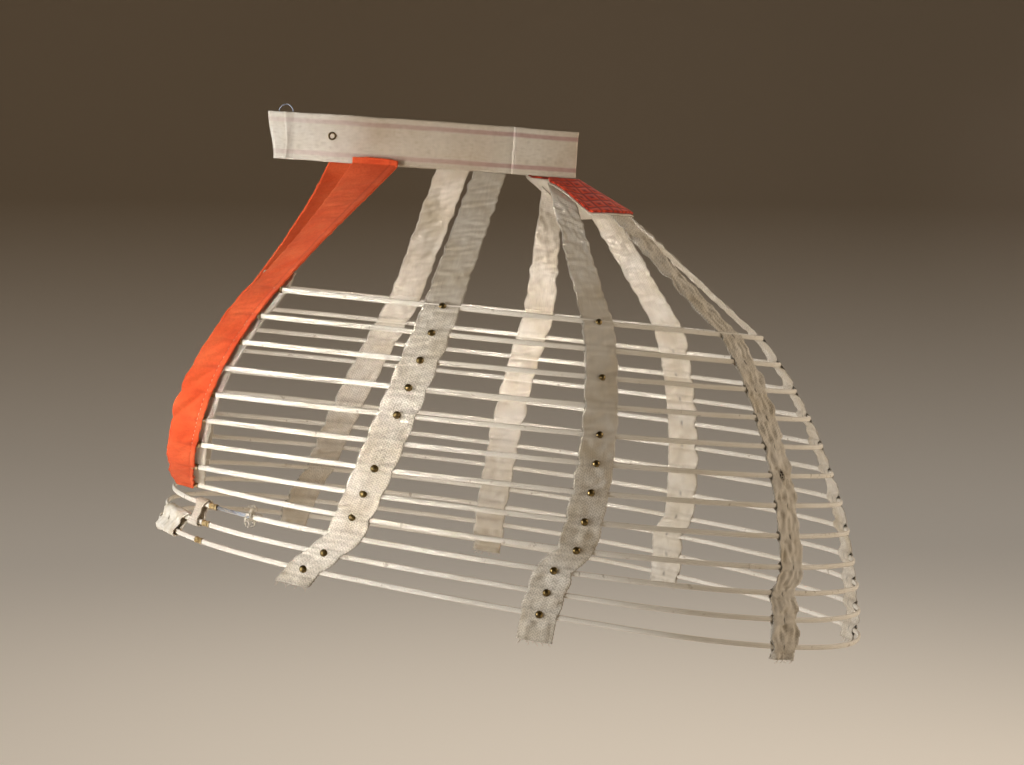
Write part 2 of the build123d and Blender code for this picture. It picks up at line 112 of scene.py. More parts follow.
def slubs(tree, across, along, width, length):
    # Uneven yarn: streaks of a width and length in millimetres along the cut
    wide = addNode(tree, "Math", {"operation": "DIVIDE", 0: across, 1: width})
    long = addNode(tree, "Math", {"operation": "DIVIDE", 0: along, 1: length})
    place = addNode(tree, "CombineXYZ", {"X": wide, "Y": long})
    return addNode(tree, "TexNoise", {"Vector": place, "Scale": 1.0, "Detail": 3.0})


def threadRise(tree, phase, pitch):
    # A thread's rise and fall from 0 to 1 along a phase in millimetres
    turn = addNode(tree, "Math", {"operation": "MULTIPLY", 0: phase, 1: 2 * pi / pitch})
    wave = addNode(tree, "Math", {"operation": "SINE", 0: turn})
    return addNode(tree, "Math", {"operation": "MULTIPLY_ADD", 0: wave, 1: 0.5, 2: 0.5})


def finishSurface(tree, shader, colour, height, depth, strength=0.6):
    # Colour, and relief of a depth in millimetres
    tree.links.new(colour, shader.inputs["Base Color"])
    relief = addNode(tree, "Bump", {"Strength": strength, "Distance": depth * metre, "Height": height})
    tree.links.new(relief, shader.inputs["Normal"])


def aged(tree, spacing, stops):
    # Colour that varies in patches
    return addNode(tree, "ValToRGB", {"Fac": patches(tree, spacing), "stops": stops})


def shaded(tree, colour, pattern, stops, share):
    # A colour darkened, by a share, where a pattern is low
    shade = addNode(tree, "ValToRGB", {"Fac": pattern, "stops": stops})
    return addNode(tree, "Mix",
                   {"data_type": "RGBA", "blend_type": "MULTIPLY", 0: share, 6: colour, 7: shade}, 2)


def wearAndShadeMark(tree, colour, code):
    # A colour that turns to another where the piece's worn mark is set; the mark holds real wear, and painted
    # shade on the tapes, straps and kid
    worn = addNode(tree, "Attribute", {"attribute_name": "worn"}, "Fac")
    return addNode(tree, "Mix", {"data_type": "RGBA", 0: worn, 6: colour, 7: code}, 2)


def herringboneTape():
    # Undyed cotton tape woven in herringbone: matt, off-white, yellowed in patches, with a brown soiled hem
    # and painted shade in its slits, torn hole, pocket edges and selvedges.
    # The threads are drawn at twice their real pitch, so that they show.
    spec = {"pitch": 2.0, "pick": 1.6, "chevron": 2.1, "grain": 1.5, "patch": 34.0, "relief": 0.3,
            "slubWidth": 0.9, "slubLength": 9.0}
    material, tree, shader = newMaterial("herringbone_cotton", {"Roughness": 0.92, "Specular IOR Level": 0.2})
    across, along = cutPlace(tree)
    zigzag = addNode(tree, "Math", {"operation": "PINGPONG", 0: across, 1: spec["chevron"]})
    twill = threadRise(tree, addNode(tree, "Math", {"operation": "ADD", 0: zigzag, 1: along}), spec["pitch"])
    pick = threadRise(tree, across, spec["pick"])
    slub = slubs(tree, across, along, spec["slubWidth"], spec["slubLength"])
    grain = patches(tree, spec["grain"], 2.0)
    threads = addNode(tree, "Math", {"operation": "MULTIPLY_ADD", 0: grain, 1: 0.8, 2: slub})
    threads = addNode(tree, "Math", {"operation": "MULTIPLY_ADD", 0: twill, 1: 0.5, 2: threads})
    threads = addNode(tree, "Math", {"operation": "MULTIPLY_ADD", 0: pick, 1: 0.2, 2: threads})
    tone = aged(tree, spec["patch"], [(0.28, "#d3c6af"), (0.48, "#e5dccd"), (0.72, "#f0eae0")])
    level = addNode(tree, "Math", {"operation": "MULTIPLY", 0: threads, 1: 0.5})
    woven = shaded(tree, tone, level, [(0.42, "#8f8572"), (0.78, "#ffffff")], 0.55)
    # The worn mark turns it dark brown: a soiled hem, and painted shade in slits, a torn hole, pocket edges
    # and selvedges
    finishSurface(tree, shader, wearAndShadeMark(tree, woven, "#2c2015"), threads, spec["relief"])
    return material


def braidCotton():
    # Cotton plaited over flat steel: smooth, cream, with fine crossing threads and a few brown flecks.
    # The plait is drawn at twice its real pitch, so that it shows.
    spec = {"pitch": 1.9, "girth": 9.6, "fleck": 5.0, "patch": 60.0, "relief": 0.1}
    material, tree, shader = newMaterial("plaited_cotton_braid",
                                         {"Roughness": 0.85, "Specular IOR Level": 0.25})
    around, along = cutPlace(tree)
    lean = addNode(tree, "Math", {"operation": "MULTIPLY", 0: around, 1: 2 * spec["pitch"] / spec["girth"]})
    over = threadRise(tree, addNode(tree, "Math", {"operation": "ADD", 0: along, 1: lean}), spec["pitch"])
    under = threadRise(tree, addNode(tree, "Math", {"operation": "SUBTRACT", 0: along, 1: lean}),
                       spec["pitch"])
    plait = addNode(tree, "Math", {"operation": "MAXIMUM", 0: over, 1: under})
    tone = aged(tree, spec["patch"], [(0.3, "#e0d8c9"), (0.55, "#ece6db"), (0.8, "#f2eee6")])
    flecked = shaded(tree, tone, patches(tree, spec["fleck"], 2.0), [(0.27, "#8d7656"), (0.34, "#ffffff")],
                     0.45)
    colour = shaded(tree, flecked, plait, [(0.1, "#b4ab9b"), (0.7, "#ffffff")], 0.25)
    finishSurface(tree, shader, colour, plait, spec["relief"])
    return material


def bandWebbing(height):
    # Stout linen and cotton webbing: cream, slubbed lengthwise, with painted shade from the middle of its
    # length to the back, and two mauve
    # stripes woven in near its edges that have faded most at the front
    spec = {"pitch": 1.5, "stripeInset": 5.6, "stripeHalf": 1.5, "patch": 50.0, "relief": 0.2,
            "slubWidth": 0.9,
            "slubLength": 4.5, "weftWidth": 7.0, "weftLength": 0.8, "fadedFrom": 0.07, "fadedTo": -0.11,
            "shadeFrom": -0.07, "shadeTo": -0.035, "shadeEaseFrom": 0.04, "shadeEaseTo": 0.085}
    material, tree, shader = newMaterial("striped_linen_webbing",
                                         {"Roughness": 0.92, "Specular IOR Level": 0.2})
    across, along = cutPlace(tree)
    twill = threadRise(tree, addNode(tree, "Math", {"operation": "ADD", 0: across, 1: along}), spec["pitch"])
    slub = slubs(tree, across, along, spec["slubWidth"], spec["slubLength"])
    weft = slubs(tree, across, along, spec["weftWidth"], spec["weftLength"])
    threads = addNode(tree, "Math", {"operation": "MULTIPLY_ADD", 0: weft, 1: 0.7, 2: slub})
    threads = addNode(tree, "Math", {"operation": "MULTIPLY_ADD", 0: twill, 1: 0.2, 2: threads})
    inset = addNode(tree, "Math", {"operation": "PINGPONG", 0: across, 1: height / 2})
    off = addNode(tree, "Math", {"operation": "SUBTRACT", 0: inset, 1: spec["stripeInset"]})
    off = addNode(tree, "Math", {"operation": "ABSOLUTE", 0: off})
    half = spec["stripeHalf"]
    stripe = addNode(tree, "MapRange", {"Value": off, "From Min": half + 0.6, "From Max": half - 0.4})
    place = addNode(tree, "SeparateXYZ", {"Vector": addNode(tree, "TexCoord", {}, "Object")})
    kept = addNode(tree, "MapRange",
                   {"Value": place, "From Min": spec["fadedTo"], "From Max": spec["fadedFrom"],
                                      "To Min": 0.2, "To Max": 0.6})
    dye = addNode(tree, "Math", {"operation": "MULTIPLY", 0: stripe, 1: kept})
    tone = aged(tree, spec["patch"], [(0.3, "#d8cdbb"), (0.52, "#e6dfd3"), (0.78, "#efebe3")])
    dyed = addNode(tree, "Mix", {"data_type": "RGBA", 0: dye, 6: tone, 7: "#b98488"}, 2)
    woven = shaded(tree, dyed, threads, [(0.55, "#a89d8a"), (1.0, "#ffffff")], 0.5)
    # Painted shade: none at the front, full over the middle of the length and less at the back end
    rubbed = addNode(tree, "MapRange",
                     {"Value": place, "From Min": spec["shadeFrom"], "From Max": spec["shadeTo"]})
    fresh = addNode(tree, "MapRange",
                    {"Value": place, "From Min": spec["shadeEaseTo"], "From Max": spec["shadeEaseFrom"],
                                       "To Min": 0.35, "To Max": 0.8})
    paintedShade = addNode(tree, "Math", {"operation": "MULTIPLY", 0: rubbed, 1: fresh})
    colour = addNode(tree, "Mix",
                     {"data_type": "RGBA", "blend_type": "MULTIPLY", 0: paintedShade, 6: woven, 7: "#d3c7b6"}, 2)
    finishSurface(tree, shader, colour, threads, spec["relief"])
    return material


def redWool():
    # Fulled wool twill, turkey red gone orange in the light, with a soft nap that hides most of the weave
    spec = {"pitch": 1.5, "nap": 1.6, "patch": 22.0, "relief": 0.25}
    material, tree, shader = newMaterial("fulled_red_wool", {
        "Roughness": 0.88, "Specular IOR Level": 0.15, "Sheen Weight": 0.15, "Sheen Roughness": 0.6,
        "Sheen Tint": linear("#ffb08a")})
    across, along = cutPlace(tree)
    slope = addNode(tree, "Math", {"operation": "MULTIPLY_ADD", 0: across, 1: 1.4, 2: along})
    twill = threadRise(tree, slope, spec["pitch"])
    fuzz = patches(tree, spec["nap"], 3.0)
    nap = addNode(tree, "Math", {"operation": "MULTIPLY_ADD", 0: twill, 1: 0.4, 2: fuzz})
    tone = aged(tree, spec["patch"], [(0.25, "#da4f26"), (0.5, "#e86136"), (0.78, "#f07547")])
    wool = shaded(tree, tone, nap, [(0.35, "#c88f7e"), (0.9, "#ffffff")], 0.5)
    # The worn mark paints a darker red into the strap's creases and hem line, as painted shade
    finishSurface(tree, shader, wearAndShadeMark(tree, wool, "#a32410"), nap, spec["relief"])
    return material


def quiltedWool():
    # Crimson wool quilted in lozenges, its stitched lines painted dark as painted shade in their sunk
    # channels, with a dark dot woven into each lozenge
    spec = {"lozenge": 14.0, "patch": 14.0, "relief": 1.2}
    material, tree, shader = newMaterial("quilted_crimson_wool", {
        "Roughness": 0.85, "Specular IOR Level": 0.15, "Sheen Weight": 0.1, "Sheen Roughness": 0.6})
    across, along = cutPlace(tree)
    half = spec["lozenge"] / 2
    lines = [addNode(tree, "Math", {"operation": way, 0: across, 1: along}) for way in ("ADD", "SUBTRACT")]
    one, other = [addNode(tree, "Math", {"operation": "PINGPONG", 0: line, 1: half}) for line in lines]
    puff = addNode(tree, "Math", {"operation": "MINIMUM", 0: one, 1: other})
    puff = addNode(tree, "Math", {"operation": "DIVIDE", 0: puff, 1: half})
    tone = aged(tree, spec["patch"], [(0.3, "#bd3217"), (0.55, "#d24625"), (0.8, "#dd5733")])
    # Painted shade along the stitched lines, and a dark dot woven into each lozenge
    seamShadeAndDots = [(0.05, "#6a2015"), (0.22, "#ffffff"), (0.55, "#ffffff"), (0.85, "#8a2c1e")]
    finishSurface(tree, shader, shaded(tree, tone, puff, seamShadeAndDots, 0.75), puff, spec["relief"])
    return material


def plainCotton():
    # Plain-woven lining cotton, a little greyed
    spec = {"pitch": 1.2, "patch": 30.0, "relief": 0.15}
    material, tree, shader = newMaterial("plain_lining_cotton",
                                         {"Roughness": 0.93, "Specular IOR Level": 0.2})
    warp, weft = [threadRise(tree, way, spec["pitch"]) for way in cutPlace(tree)]
    threads = addNode(tree, "Math", {"operation": "MULTIPLY", 0: warp, 1: weft})
    tone = aged(tree, spec["patch"], [(0.3, "#d0c5b2"), (0.6, "#e6dfd2"), (0.8, "#f0ebe1")])
    colour = shaded(tree, tone, threads, [(0.0, "#c9c2b5"), (0.5, "#ffffff")], 0.5)
    finishSurface(tree, shader, colour, threads, spec["relief"])
    return material


def whiteKid():
    # Tawed kid leather: white, soft, finely grained, yellowed in patches
    spec = {"grain": 1.1, "patch": 9.0, "relief": 0.15}
    material, tree, shader = newMaterial("tawed_white_kid", {"Roughness": 0.6, "Specular IOR Level": 0.35})
    place = addNode(tree, "TexCoord", {}, "Object")
    grain = addNode(tree, "TexVoronoi", {"feature": "DISTANCE_TO_EDGE", "Vector": place,
                                         "Scale": 1 / (spec["grain"] * metre)})
    tone = aged(tree, spec["patch"], [(0.3, "#d6cab3"), (0.52, "#ede7da"), (0.8, "#f5f1e9")])
    skin = shaded(tree, tone, grain, [(0.0, "#d8cfc0"), (0.2, "#ffffff")], 0.4)
    # The worn mark paints the stud hole dark, as painted shade
    finishSurface(tree, shader, wearAndShadeMark(tree, skin, "#4a3a26"), grain, spec["relief"], 0.4)
    return material


metals = {
    # Stamped brass, browned almost black by age, rubbed bright in patches
    "tarnished_brass": {"metallic": 1.0, "patch": 1.8, "pit": 0.5, "relief": 0.05, "strength": 0.4,
                        "rough": 0.48, "dirtRough": -0.3,
                        "tones": [(0.32, "#3b3020"), (0.52, "#6b5a38"), (0.72, "#a99263")]},
    # Thin brass sleeve rubbed to a dull straw colour, brown at its edges
    "rubbed_brass_sleeve": {"metallic": 0.55, "patch": 2.4, "pit": 0.6, "relief": 0.05, "strength": 0.4,
                            "rough": 0.3, "dirtRough": 0.3, "worn": "#33271a",
                            "tones": [(0.3, "#6f5733"), (0.5, "#b59a68"), (0.72, "#d9c9a4")]},
    # Tempered spring steel: grey with a trace of blue, spotted brown
    "tempered_spring_steel": {"metallic": 1.0, "patch": 4.0, "pit": 0.4, "relief": 0.03, "strength": 0.3,
                              "rough": 0.5, "dirtRough": -0.2,
                              "tones": [(0.3, "#4f4238"), (0.42, "#6f7580"), (0.75, "#9aa1af")]},
}


def agedMetal(name):
    # Tone and roughness follow the same patches of dirt
    spec = metals[name]
    material, tree, shader = newMaterial(name, {"Metallic": spec["metallic"]})
    dirt = patches(tree, spec["patch"])
    tone = addNode(tree, "ValToRGB", {"Fac": dirt, "stops": spec["tones"]})
    rough = addNode(tree, "Math",
                    {"operation": "MULTIPLY_ADD", 0: dirt, 1: spec["dirtRough"], 2: spec["rough"]})
    tree.links.new(rough, shader.inputs["Roughness"])
    colour = wearAndShadeMark(tree, tone, spec["worn"]) if "worn" in spec else tone
    finishSurface(tree, shader, colour, patches(tree, spec["pit"]), spec["relief"], spec["strength"])
    return material


def sewingThread():
    # Two-ply cotton sewing thread, its twist drawn at twice its real pitch
    spec = {"twist": 0.8, "relief": 0.05}
    material, tree, shader = newMaterial("cotton_thread", {"Roughness": 0.9, "Specular IOR Level": 0.2})
    across, along = cutPlace(tree)
    twist = threadRise(tree, addNode(tree, "Math", {"operation": "ADD", 0: across, 1: along}), spec["twist"])
    tone = addNode(tree, "ValToRGB", {"Fac": twist, "stops": [(0.0, "#b5a68c"), (0.6, "#efe8da")]})
    finishSurface(tree, shader, tone, twist, spec["relief"])
    return material


# Making pieces
def addCut(bm, across, along, width, length, place, worn=None, flat=None):
    # A flat cut of cloth whose points are laid in place, and given a worn mark of real wear and painted
    # shade, by their shares of its width and length
    cut = bm.loops.layers.uv.get("cut") or bm.loops.layers.uv.new("cut")
    wear = bm.verts.layers.float.get("worn") or bm.verts.layers.float.new("worn")
    verts = bmesh.ops.create_grid(bm, x_segments=across, y_segments=along, size=0.5)["verts"]
    shares = {vert: (vert.co.x + 0.5, vert.co.y + 0.5) for vert in verts}
    for face in {face for vert in verts for face in vert.link_faces}:
        for loop in face.loops:
            wide, long = shares[loop.vert]
            loop[cut].uv = flat(wide, long) if flat else (wide * width, long * length)
    for vert in verts:
        vert.co = place(*shares[vert])
        vert[wear] = worn(*shares[vert]) if worn else 0
    return verts


def addTube(bm, around, along, girth, length, place, worn=None, capped=True):
    # A cut rolled into a tube, its seam closed and its ends filled
    verts = addCut(bm, around, along, girth, length, place, worn)
    bmesh.ops.remove_doubles(bm, verts=verts, dist=girth / around / 50)
    if capped:
        bmesh.ops.holes_fill(bm, edges=[edge for edge in bm.edges if edge.is_boundary], sides=0)


def addTurned(bm, profile, steps, matrix):
    # A turned shape from (radius, height) points about the matrix's z
    earlier = set(bm.verts)
    points = [bm.verts.new((radius, 0, height)) for radius, height in profile]
    edges = [bm.edges.new(pair) for pair in zip(points, points[1:])]
    bmesh.ops.spin(bm, geom=points + edges, cent=(0, 0, 0), axis=(0, 0, 1), angle=2 * pi, steps=steps,
                   use_merge=True)
    bmesh.ops.remove_doubles(bm, verts=[vert for vert in bm.verts if vert not in earlier], dist=0.001)
    fresh = [vert for vert in bm.verts if vert not in earlier]
    bmesh.ops.recalc_face_normals(bm, faces=list({face for vert in fresh for face in vert.link_faces}))
    bmesh.ops.transform(bm, matrix=matrix, verts=fresh)


def addThread(bm, line, radius, steps):
    # A thread along a line given by shares of its length, thinner towards its end
    def lay(turn, share):
        onward = (line(min(share + 0.02, 1)) - line(max(share - 0.02, 0))).normalized()
        across = onward.cross(Vector((0.3, 0.5, 0.8))).normalized()
        girth = radius * (1 - 0.4 * share)
        wide, deep = girth * cos(2 * pi * turn), girth * sin(2 * pi * turn)
        return line(share) + across * wide + onward.cross(across) * deep

    addTube(bm, 5, steps, 2 * pi * radius, (line(1) - line(0)).length, lay)


def frameMatrix(point, x, y, z):
    return Matrix.Translation(point) @ Matrix((x, y, z)).transposed().to_4x4()


def finishPiece(bm, name, material, nodes=(), thickness=0.0, closed=False):
    if closed:
        bmesh.ops.recalc_face_normals(bm, faces=bm.faces)
    bmesh.ops.scale(bm, vec=(metre, metre, metre), verts=bm.verts)
    mesh = bpy.data.meshes.new(name)
    bm.to_mesh(mesh)
    bm.free()
    mesh.polygons.foreach_set("use_smooth", [True] * len(mesh.polygons))
    mesh.materials.append(material)
    piece = bpy.data.objects.new(name, mesh)
    bpy.context.scene.collection.objects.link(piece)
    if thickness:
        wall = piece.modifiers.new("thickness", "SOLIDIFY")
        wall.thickness = thickness * metre
        wall.offset = 0
    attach(piece, "root")
    if nodes:
        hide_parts(*nodes)
    return piece


# Hoops: flat spring steel in a cotton braid, counted from the top. First and last values are the top's and
# bottom's.
hoopSpec = {
    "count": 12, "openCount": 9, "height": 3.6, "thickness": 2.2, "topDepth": 118.4, "openPitch": 18.7,
    "closedPitch": 14.6, "tilt": (5.9, 10.4), "roll": 0.75, "halfWidth": (147.5, 192.0),
    "backReach": (261.5, 341.0), "backStretch": (159.0, 27.0), "backRadius": (60.0, 125.0),
    "openFront": (113.0, 170.5), "frontTuck": (15.0, 107.0), "closedFront": (188.0, 199.0),
    "frontTightening": 26.0, "crimpAngle": 35.5, "bareAngle": 49.0, "endGap": 0.6,
    "around": 12, "step": 2.6, "roundness": 0.75, "wander": 0.22,
}


def sideRadius(length, halfWidth, endRadius):
    return ((length - endRadius) ** 2 + halfWidth ** 2 - endRadius ** 2) / (2 * (halfWidth - endRadius))


def meetingAngle(length, halfWidth, endRadius):
    return degrees(atan2(sideRadius(length, halfWidth, endRadius) - halfWidth, length - endRadius))


class Hoop:
    # One hoop's slope and the arcs of its line, from the left front round the back to the right front
    def __init__(self, index):
        spec = hoopSpec
        fall = index / (spec["count"] - 1)
        below = max(index - spec["openCount"] + 1, 0)
        depth = spec["topDepth"] + (index - below) * spec["openPitch"] + below * spec["closedPitch"]
        tilt = radians(mix(*spec["tilt"], fall ** 2))
        roll = radians(spec["roll"] * (1 - fall) ** 1.5)
        self.number = index + 1
        self.closed = below > 0
        self.share = (below - 1) / (spec["count"] - spec["openCount"]
                                    - 1) if self.closed else index / (spec["openCount"] - 1)
        self.origin = Vector((0, 0, -depth))
        self.back = Vector((cos(tilt), 0, -sin(tilt)))
        self.up = Vector((sin(tilt) * cos(roll), -sin(roll), cos(tilt) * cos(roll)))
        self.across = self.up.cross(self.back)
        half = mix(*reversed(spec["halfWidth"]), (1 - fall) ** 4)
        self.backReach = mix(*reversed(spec["backReach"]), (1 - fall) ** 2)
        backRadius = mix(*spec["backRadius"], fall)
        backLength = half + mix(*spec["backStretch"], fall ** 1.4)
        widest = self.backReach - backLength
        side = sideRadius(backLength, half, backRadius)
        backAngle = meetingAngle(backLength, half, backRadius)
        first, last = [], []
        if self.closed:
            reach = mix(*spec["closedFront"], self.share)
            nose = half - spec["frontTightening"]
            front = sideRadius(reach + widest, half, nose)
            angle = meetingAngle(reach + widest, half, nose)
            turn = 90 - angle
            start = spec["crimpAngle"] + degrees(spec["endGap"] / nose)
            if self.number == spec["openCount"] + 1:
                start = spec["bareAngle"]
            self.noseMiddle, self.noseRadius = nose - reach, nose
            first = [((nose - reach, 0), nose, 180 + start, angle - start)]
            last = [((nose - reach, 0), nose, 180 - angle, spec["crimpAngle"] + angle)]
        else:
            reach = mix(*reversed(spec["openFront"]), (1 - self.share) ** 2.2)
            tuck = mix(*spec["frontTuck"], self.share ** 5)
            front = ((reach + widest) ** 2 + tuck ** 2) / (2 * tuck)
            turn = degrees(asin((reach + widest) / front))
        self.arcs = first + [
            ((widest, front - half), front, 270 - turn, turn),
            ((widest, side - half), side, 270, 90 - backAngle),
            ((self.backReach - backRadius, 0), backRadius, -backAngle, 2 * backAngle),
            ((widest, half - side), side, backAngle, 90 - backAngle),
            ((widest, half - front), front, 90, turn)] + last
        self.length = sum(radius * radians(turn) for centre, radius, start, turn in self.arcs)

    def onArc(self, centre, radius, angle):
        lean, rise = cos(radians(angle)), sin(radians(angle))
        back, across = centre[0] + radius * lean, centre[1] + radius * rise
        point = self.origin + self.back * back + self.across * across
        return point, self.back * lean + self.across * rise, self.across * lean - self.back * rise

    def at(self, distance):
        # Point, outward and onward directions at a distance from the left front end
        gone = min(max(distance, 0), self.length)
        for centre, radius, start, turn in self.arcs:
            length = radius * radians(turn)
            if gone <= length or (centre, radius, start, turn) == self.arcs[-1]:
                point, outward, onward = self.onArc(centre, radius, start + degrees(gone / radius))
                return point + onward * (distance - min(max(distance, 0), self.length)), outward, onward
            gone -= length

    def noseAt(self, angle):
        # Point, outward and onward directions on a closed hoop's front, the left side counted up
        return self.onArc((self.noseMiddle, 0), self.noseRadius, 180 + angle)

    def distanceTo(self, station, side):
        gone = 0
        for centre, radius, start, turn in self.arcs:
            lean = (station - centre[0]) / radius
            if abs(lean) <= 1.000001:
                travel = (degrees(acos(min(max(lean, -1), 1))) * side - start) % 360
                if travel <= turn + 0.01:
                    return gone + radius * radians(travel)
            gone += radius * radians(turn)

    def crossing(self, stations, bow):
        top, lastOpen, firstClosed, bottom = stations
        if self.closed:
            return mix(firstClosed, bottom, self.share)
        return mix(top, lastOpen, self.share) + 4 * bow * self.share * (1 - self.share)

    def ring(self, distance, turn, grow=0.0):
        # A point of the braid's rounded section
        point, outward, onward = self.at(distance)
        lean, rise = cos(2 * pi * turn), sin(2 * pi * turn)
        lean = copysign(abs(lean) ** hoopSpec["roundness"], lean)
        rise = copysign(abs(rise) ** hoopSpec["roundness"], rise)
        wander = hoopSpec["wander"]
        shift = outward * (wander * waver(distance / 40, self.number))
        shift += self.up * (wander * waver(distance / 55, -self.number))
        return (point + shift + outward * (lean * (hoopSpec["thickness"] / 2 + grow))
                + self.up * (rise * (hoopSpec["height"] / 2 + grow)))


hoops = [Hoop(index) for index in range(hoopSpec["count"])]
openHoops = hoops[:hoopSpec["openCount"]]
closedHoops = hoops[hoopSpec["openCount"]:]


def makeHoops(material):
    girth = 2 * (hoopSpec["height"] + hoopSpec["thickness"])
    for hoop in hoops:
        bm = bmesh.new()
        steps = round(hoop.length / hoopSpec["step"])
        addTube(bm, hoopSpec["around"], steps, girth, hoop.length,
                lambda turn, share: hoop.ring(share * hoop.length, turn))
        name = f"hoop_{hoop.number:02d}"
        finishPiece(bm, "braid_" + name, material, [name], closed=True)


# Waistband: a woven strip hung as a flattened loop, creased at both ends
bandSpec = {
    "halfLength": 116.5, "bulge": 26.0, "height": 34.5, "thickness": 1.4, "cloth": 0.9, "lapGap": 0.1,
    "fall": 3.2, "roll": 4.0,
    "front": -104.0, "wrap": -92.0, "seam": 65.0, "lap": 10.0, "eyelet": -69.0, "eyeletRise": 1.5,
    "bore": 1.8, "rim": 3.05, "hook": -103.0, "hookRadius": 5.5, "hookLeg": 7.0, "wire": 0.45,
    "rows": 22, "step": 1.4, "buckle": 0.5, "nip": 6.0, "curl": 1.6, "hem": 0.35, "bend": 1.8,
    "bendFrom": -66.0, "bendRun": 34.0, "bendTo": 60.0, "bendFade": 60.0, "curlFrom": 95.0, "curlRun": 9.0,
    "slopeFrom": 98.0, "slopeRun": 17.0, "ragged": 0.7, "wavy": 0.35,
}
bandRadius = (bandSpec["halfLength"] ** 2 + bandSpec["bulge"] ** 2) / (2 * bandSpec["bulge"])
bandCentre = bandRadius - bandSpec["bulge"]
lapStep = bandSpec["thickness"] + bandSpec["lapGap"]
bandTurn = Matrix.Rotation(radians(bandSpec["roll"]), 3, "X")
bandTurn = bandTurn @ Matrix.Rotation(radians(bandSpec["fall"]), 3, "Y")


def bandFrame(side, place, radius, rise):
    # A point on the waistband with the directions towards the back and outwards
    lean = place / radius
    stand = sqrt(1 - lean * lean)
    point = Vector((place, side * (radius * stand - bandCentre), rise))
    backward, outward = Vector((stand, -side * lean, 0)), Vector((lean, side * stand, 0))
    return bandTurn @ point, bandTurn @ backward, bandTurn @ outward


def bandUnevenness(place, rise, side):
    # Slow buckles along the band and the roll of its woven edges
    slow = bandSpec["buckle"] * waver(place / 33, rise / 24, side * 3.0)
    slow += 0.5 * bandSpec["buckle"] * waver(place / 9, rise / 11, side * 5.0)
    bent = ease((place - bandSpec["bendFrom"]) / bandSpec["bendRun"])
    bent *= ease((bandSpec["bendTo"] - place) / bandSpec["bendFade"])
    slow -= bandSpec["bend"] * bent
    return slow + bandSpec["hem"] * swell(bandSpec["height"] / 2 - abs(rise), 1.2, 1.6)


def makeBand(material):
    height = bandSpec["height"]
    lapPlace = bandSpec["seam"] + bandSpec["lap"]
    tip = bandSpec["halfLength"]

    def strip(name, runs, ends=0.0, curl=0.0):
        # A strip through (side, radius, first place, last place) runs, its ends turned under by a height
        lengths = [abs(last - first) for side, radius, first, last in runs]

        def lay(across, along):
            rise = (across - 0.5) * height
            gone = along * sum(lengths)
            fromEnd = min(gone, sum(lengths) - gone)
            for run, length in zip(runs, lengths):
                side, radius, first, last = run
                if gone <= length or run is runs[-1]:
                    place = mix(first, last, min(gone / length, 1))
                    break
                gone -= length
            point, backward, outward = bandFrame(side, place, radius, rise)
            push = bandUnevenness(place, rise, side) + ends * swell(fromEnd, 1.6, 1.4)
            curled = curl * ease((-place - bandSpec["curlFrom"]) / bandSpec["curlRun"])
            push += curled
            # The front crease slopes in towards its foot, and the lapped end is hollow
            slope = ease((height / 2
                          - rise) / height) * ease((-place - bandSpec["slopeFrom"]) / bandSpec["slopeRun"])
            hollow = (1 - (2 * rise / height) ** 2) * curled
            ragged = bandSpec["ragged"] * waver(rise / 5, place / 60, side) * swell(fromEnd, 0.5, 3)
            wavy = Vector((0, 0, bandSpec["wavy"] * waver(place / 14, rise / 40, side * 7.0)))
            return point + outward * push + backward * (bandSpec["nip"] * slope + hollow + ragged) + wavy

        bm = bmesh.new()
        addCut(bm, bandSpec["rows"], round(sum(lengths) / bandSpec["step"]), height, sum(lengths), lay)
        piece = finishPiece(bm, "webbing_" + name, material, [name], bandSpec["cloth"])

    strip("waistband_left", [(left, bandRadius, bandSpec["front"], lapPlace)], 0.3, bandSpec["curl"])
    inner, crease = bandRadius - lapStep, 0.8 - tip
    strip("waistband_right", [(left, inner, bandSpec["wrap"], crease), (right, bandRadius, crease, lapPlace)])
    outer = bandRadius + lapStep
    strip("waistband_back", [(left, outer, bandSpec["seam"], tip), (right, outer, tip, bandSpec["seam"])],
          -0.35)


def makeEyelet(material):
    # A rolled rim on each face and the barrel between
    point, backward, outward = bandFrame(left, bandSpec["eyelet"], bandRadius, bandSpec["eyeletRise"])
    bore, rim, seat = bandSpec["bore"], bandSpec["rim"], bandSpec["thickness"] / 2 + bandSpec["lapGap"]
    middle, lip = (bore + rim) / 2, 0.75
    profile = [(bore, 0), (bore, seat), (bore + 0.2, seat + lip * 0.7), (middle, seat + lip),
               (rim - 0.2, seat + lip * 0.6),
               (rim, seat), (bore + 0.3, seat - 0.1), (bore + 0.3, 0.1 - seat), (rim, -seat),
               (rim - 0.2, -seat - lip * 0.6), (middle, -seat - lip), (bore + 0.2, -seat - lip * 0.7),
               (bore, -seat), (bore, 0)]
    bm = bmesh.new()
    addTurned(bm, profile, 40, frameMatrix(point, backward, outward.cross(backward), outward))
    finishPiece(bm, "waistband_eyelet_ring", material, ["waistband_eyelet"])


def makeHook(material):
    # A bent wire sewn inside the right front's turned end
    radius = bandRadius - lapStep - bandSpec["thickness"] / 2 - 0.6
    point, backward, outward = bandFrame(left, bandSpec["hook"], radius, bandSpec["height"] / 2)
    up = bandTurn @ Vector((0, 0, 1))
    bend, leg = bandSpec["hookRadius"], bandSpec["hookLeg"]
    length = 2 * leg + pi * bend

    def lay(turn, share):
        gone = share * length
        if gone < leg:
            across, rise, lean = -bend, gone - leg, pi
        elif gone > leg + pi * bend:
            across, rise, lean = bend, leg + pi * bend - gone, 0
        else:
            lean = pi - (gone - leg) / bend
            across, rise = bend * cos(lean), bend * sin(lean)
        middle = point + backward * across + up * rise
        side = backward * cos(lean) + up * sin(lean)
        wide, deep = bandSpec["wire"] * cos(2 * pi * turn), bandSpec["wire"] * sin(2 * pi * turn)
        return middle + side * wide + outward * deep

    bm = bmesh.new()
    addTube(bm, 8, 40, 2 * pi * bandSpec["wire"], length, lay)
    finishPiece(bm, "waistband_wire_hook", material, ["waistband_hook"], closed=True)


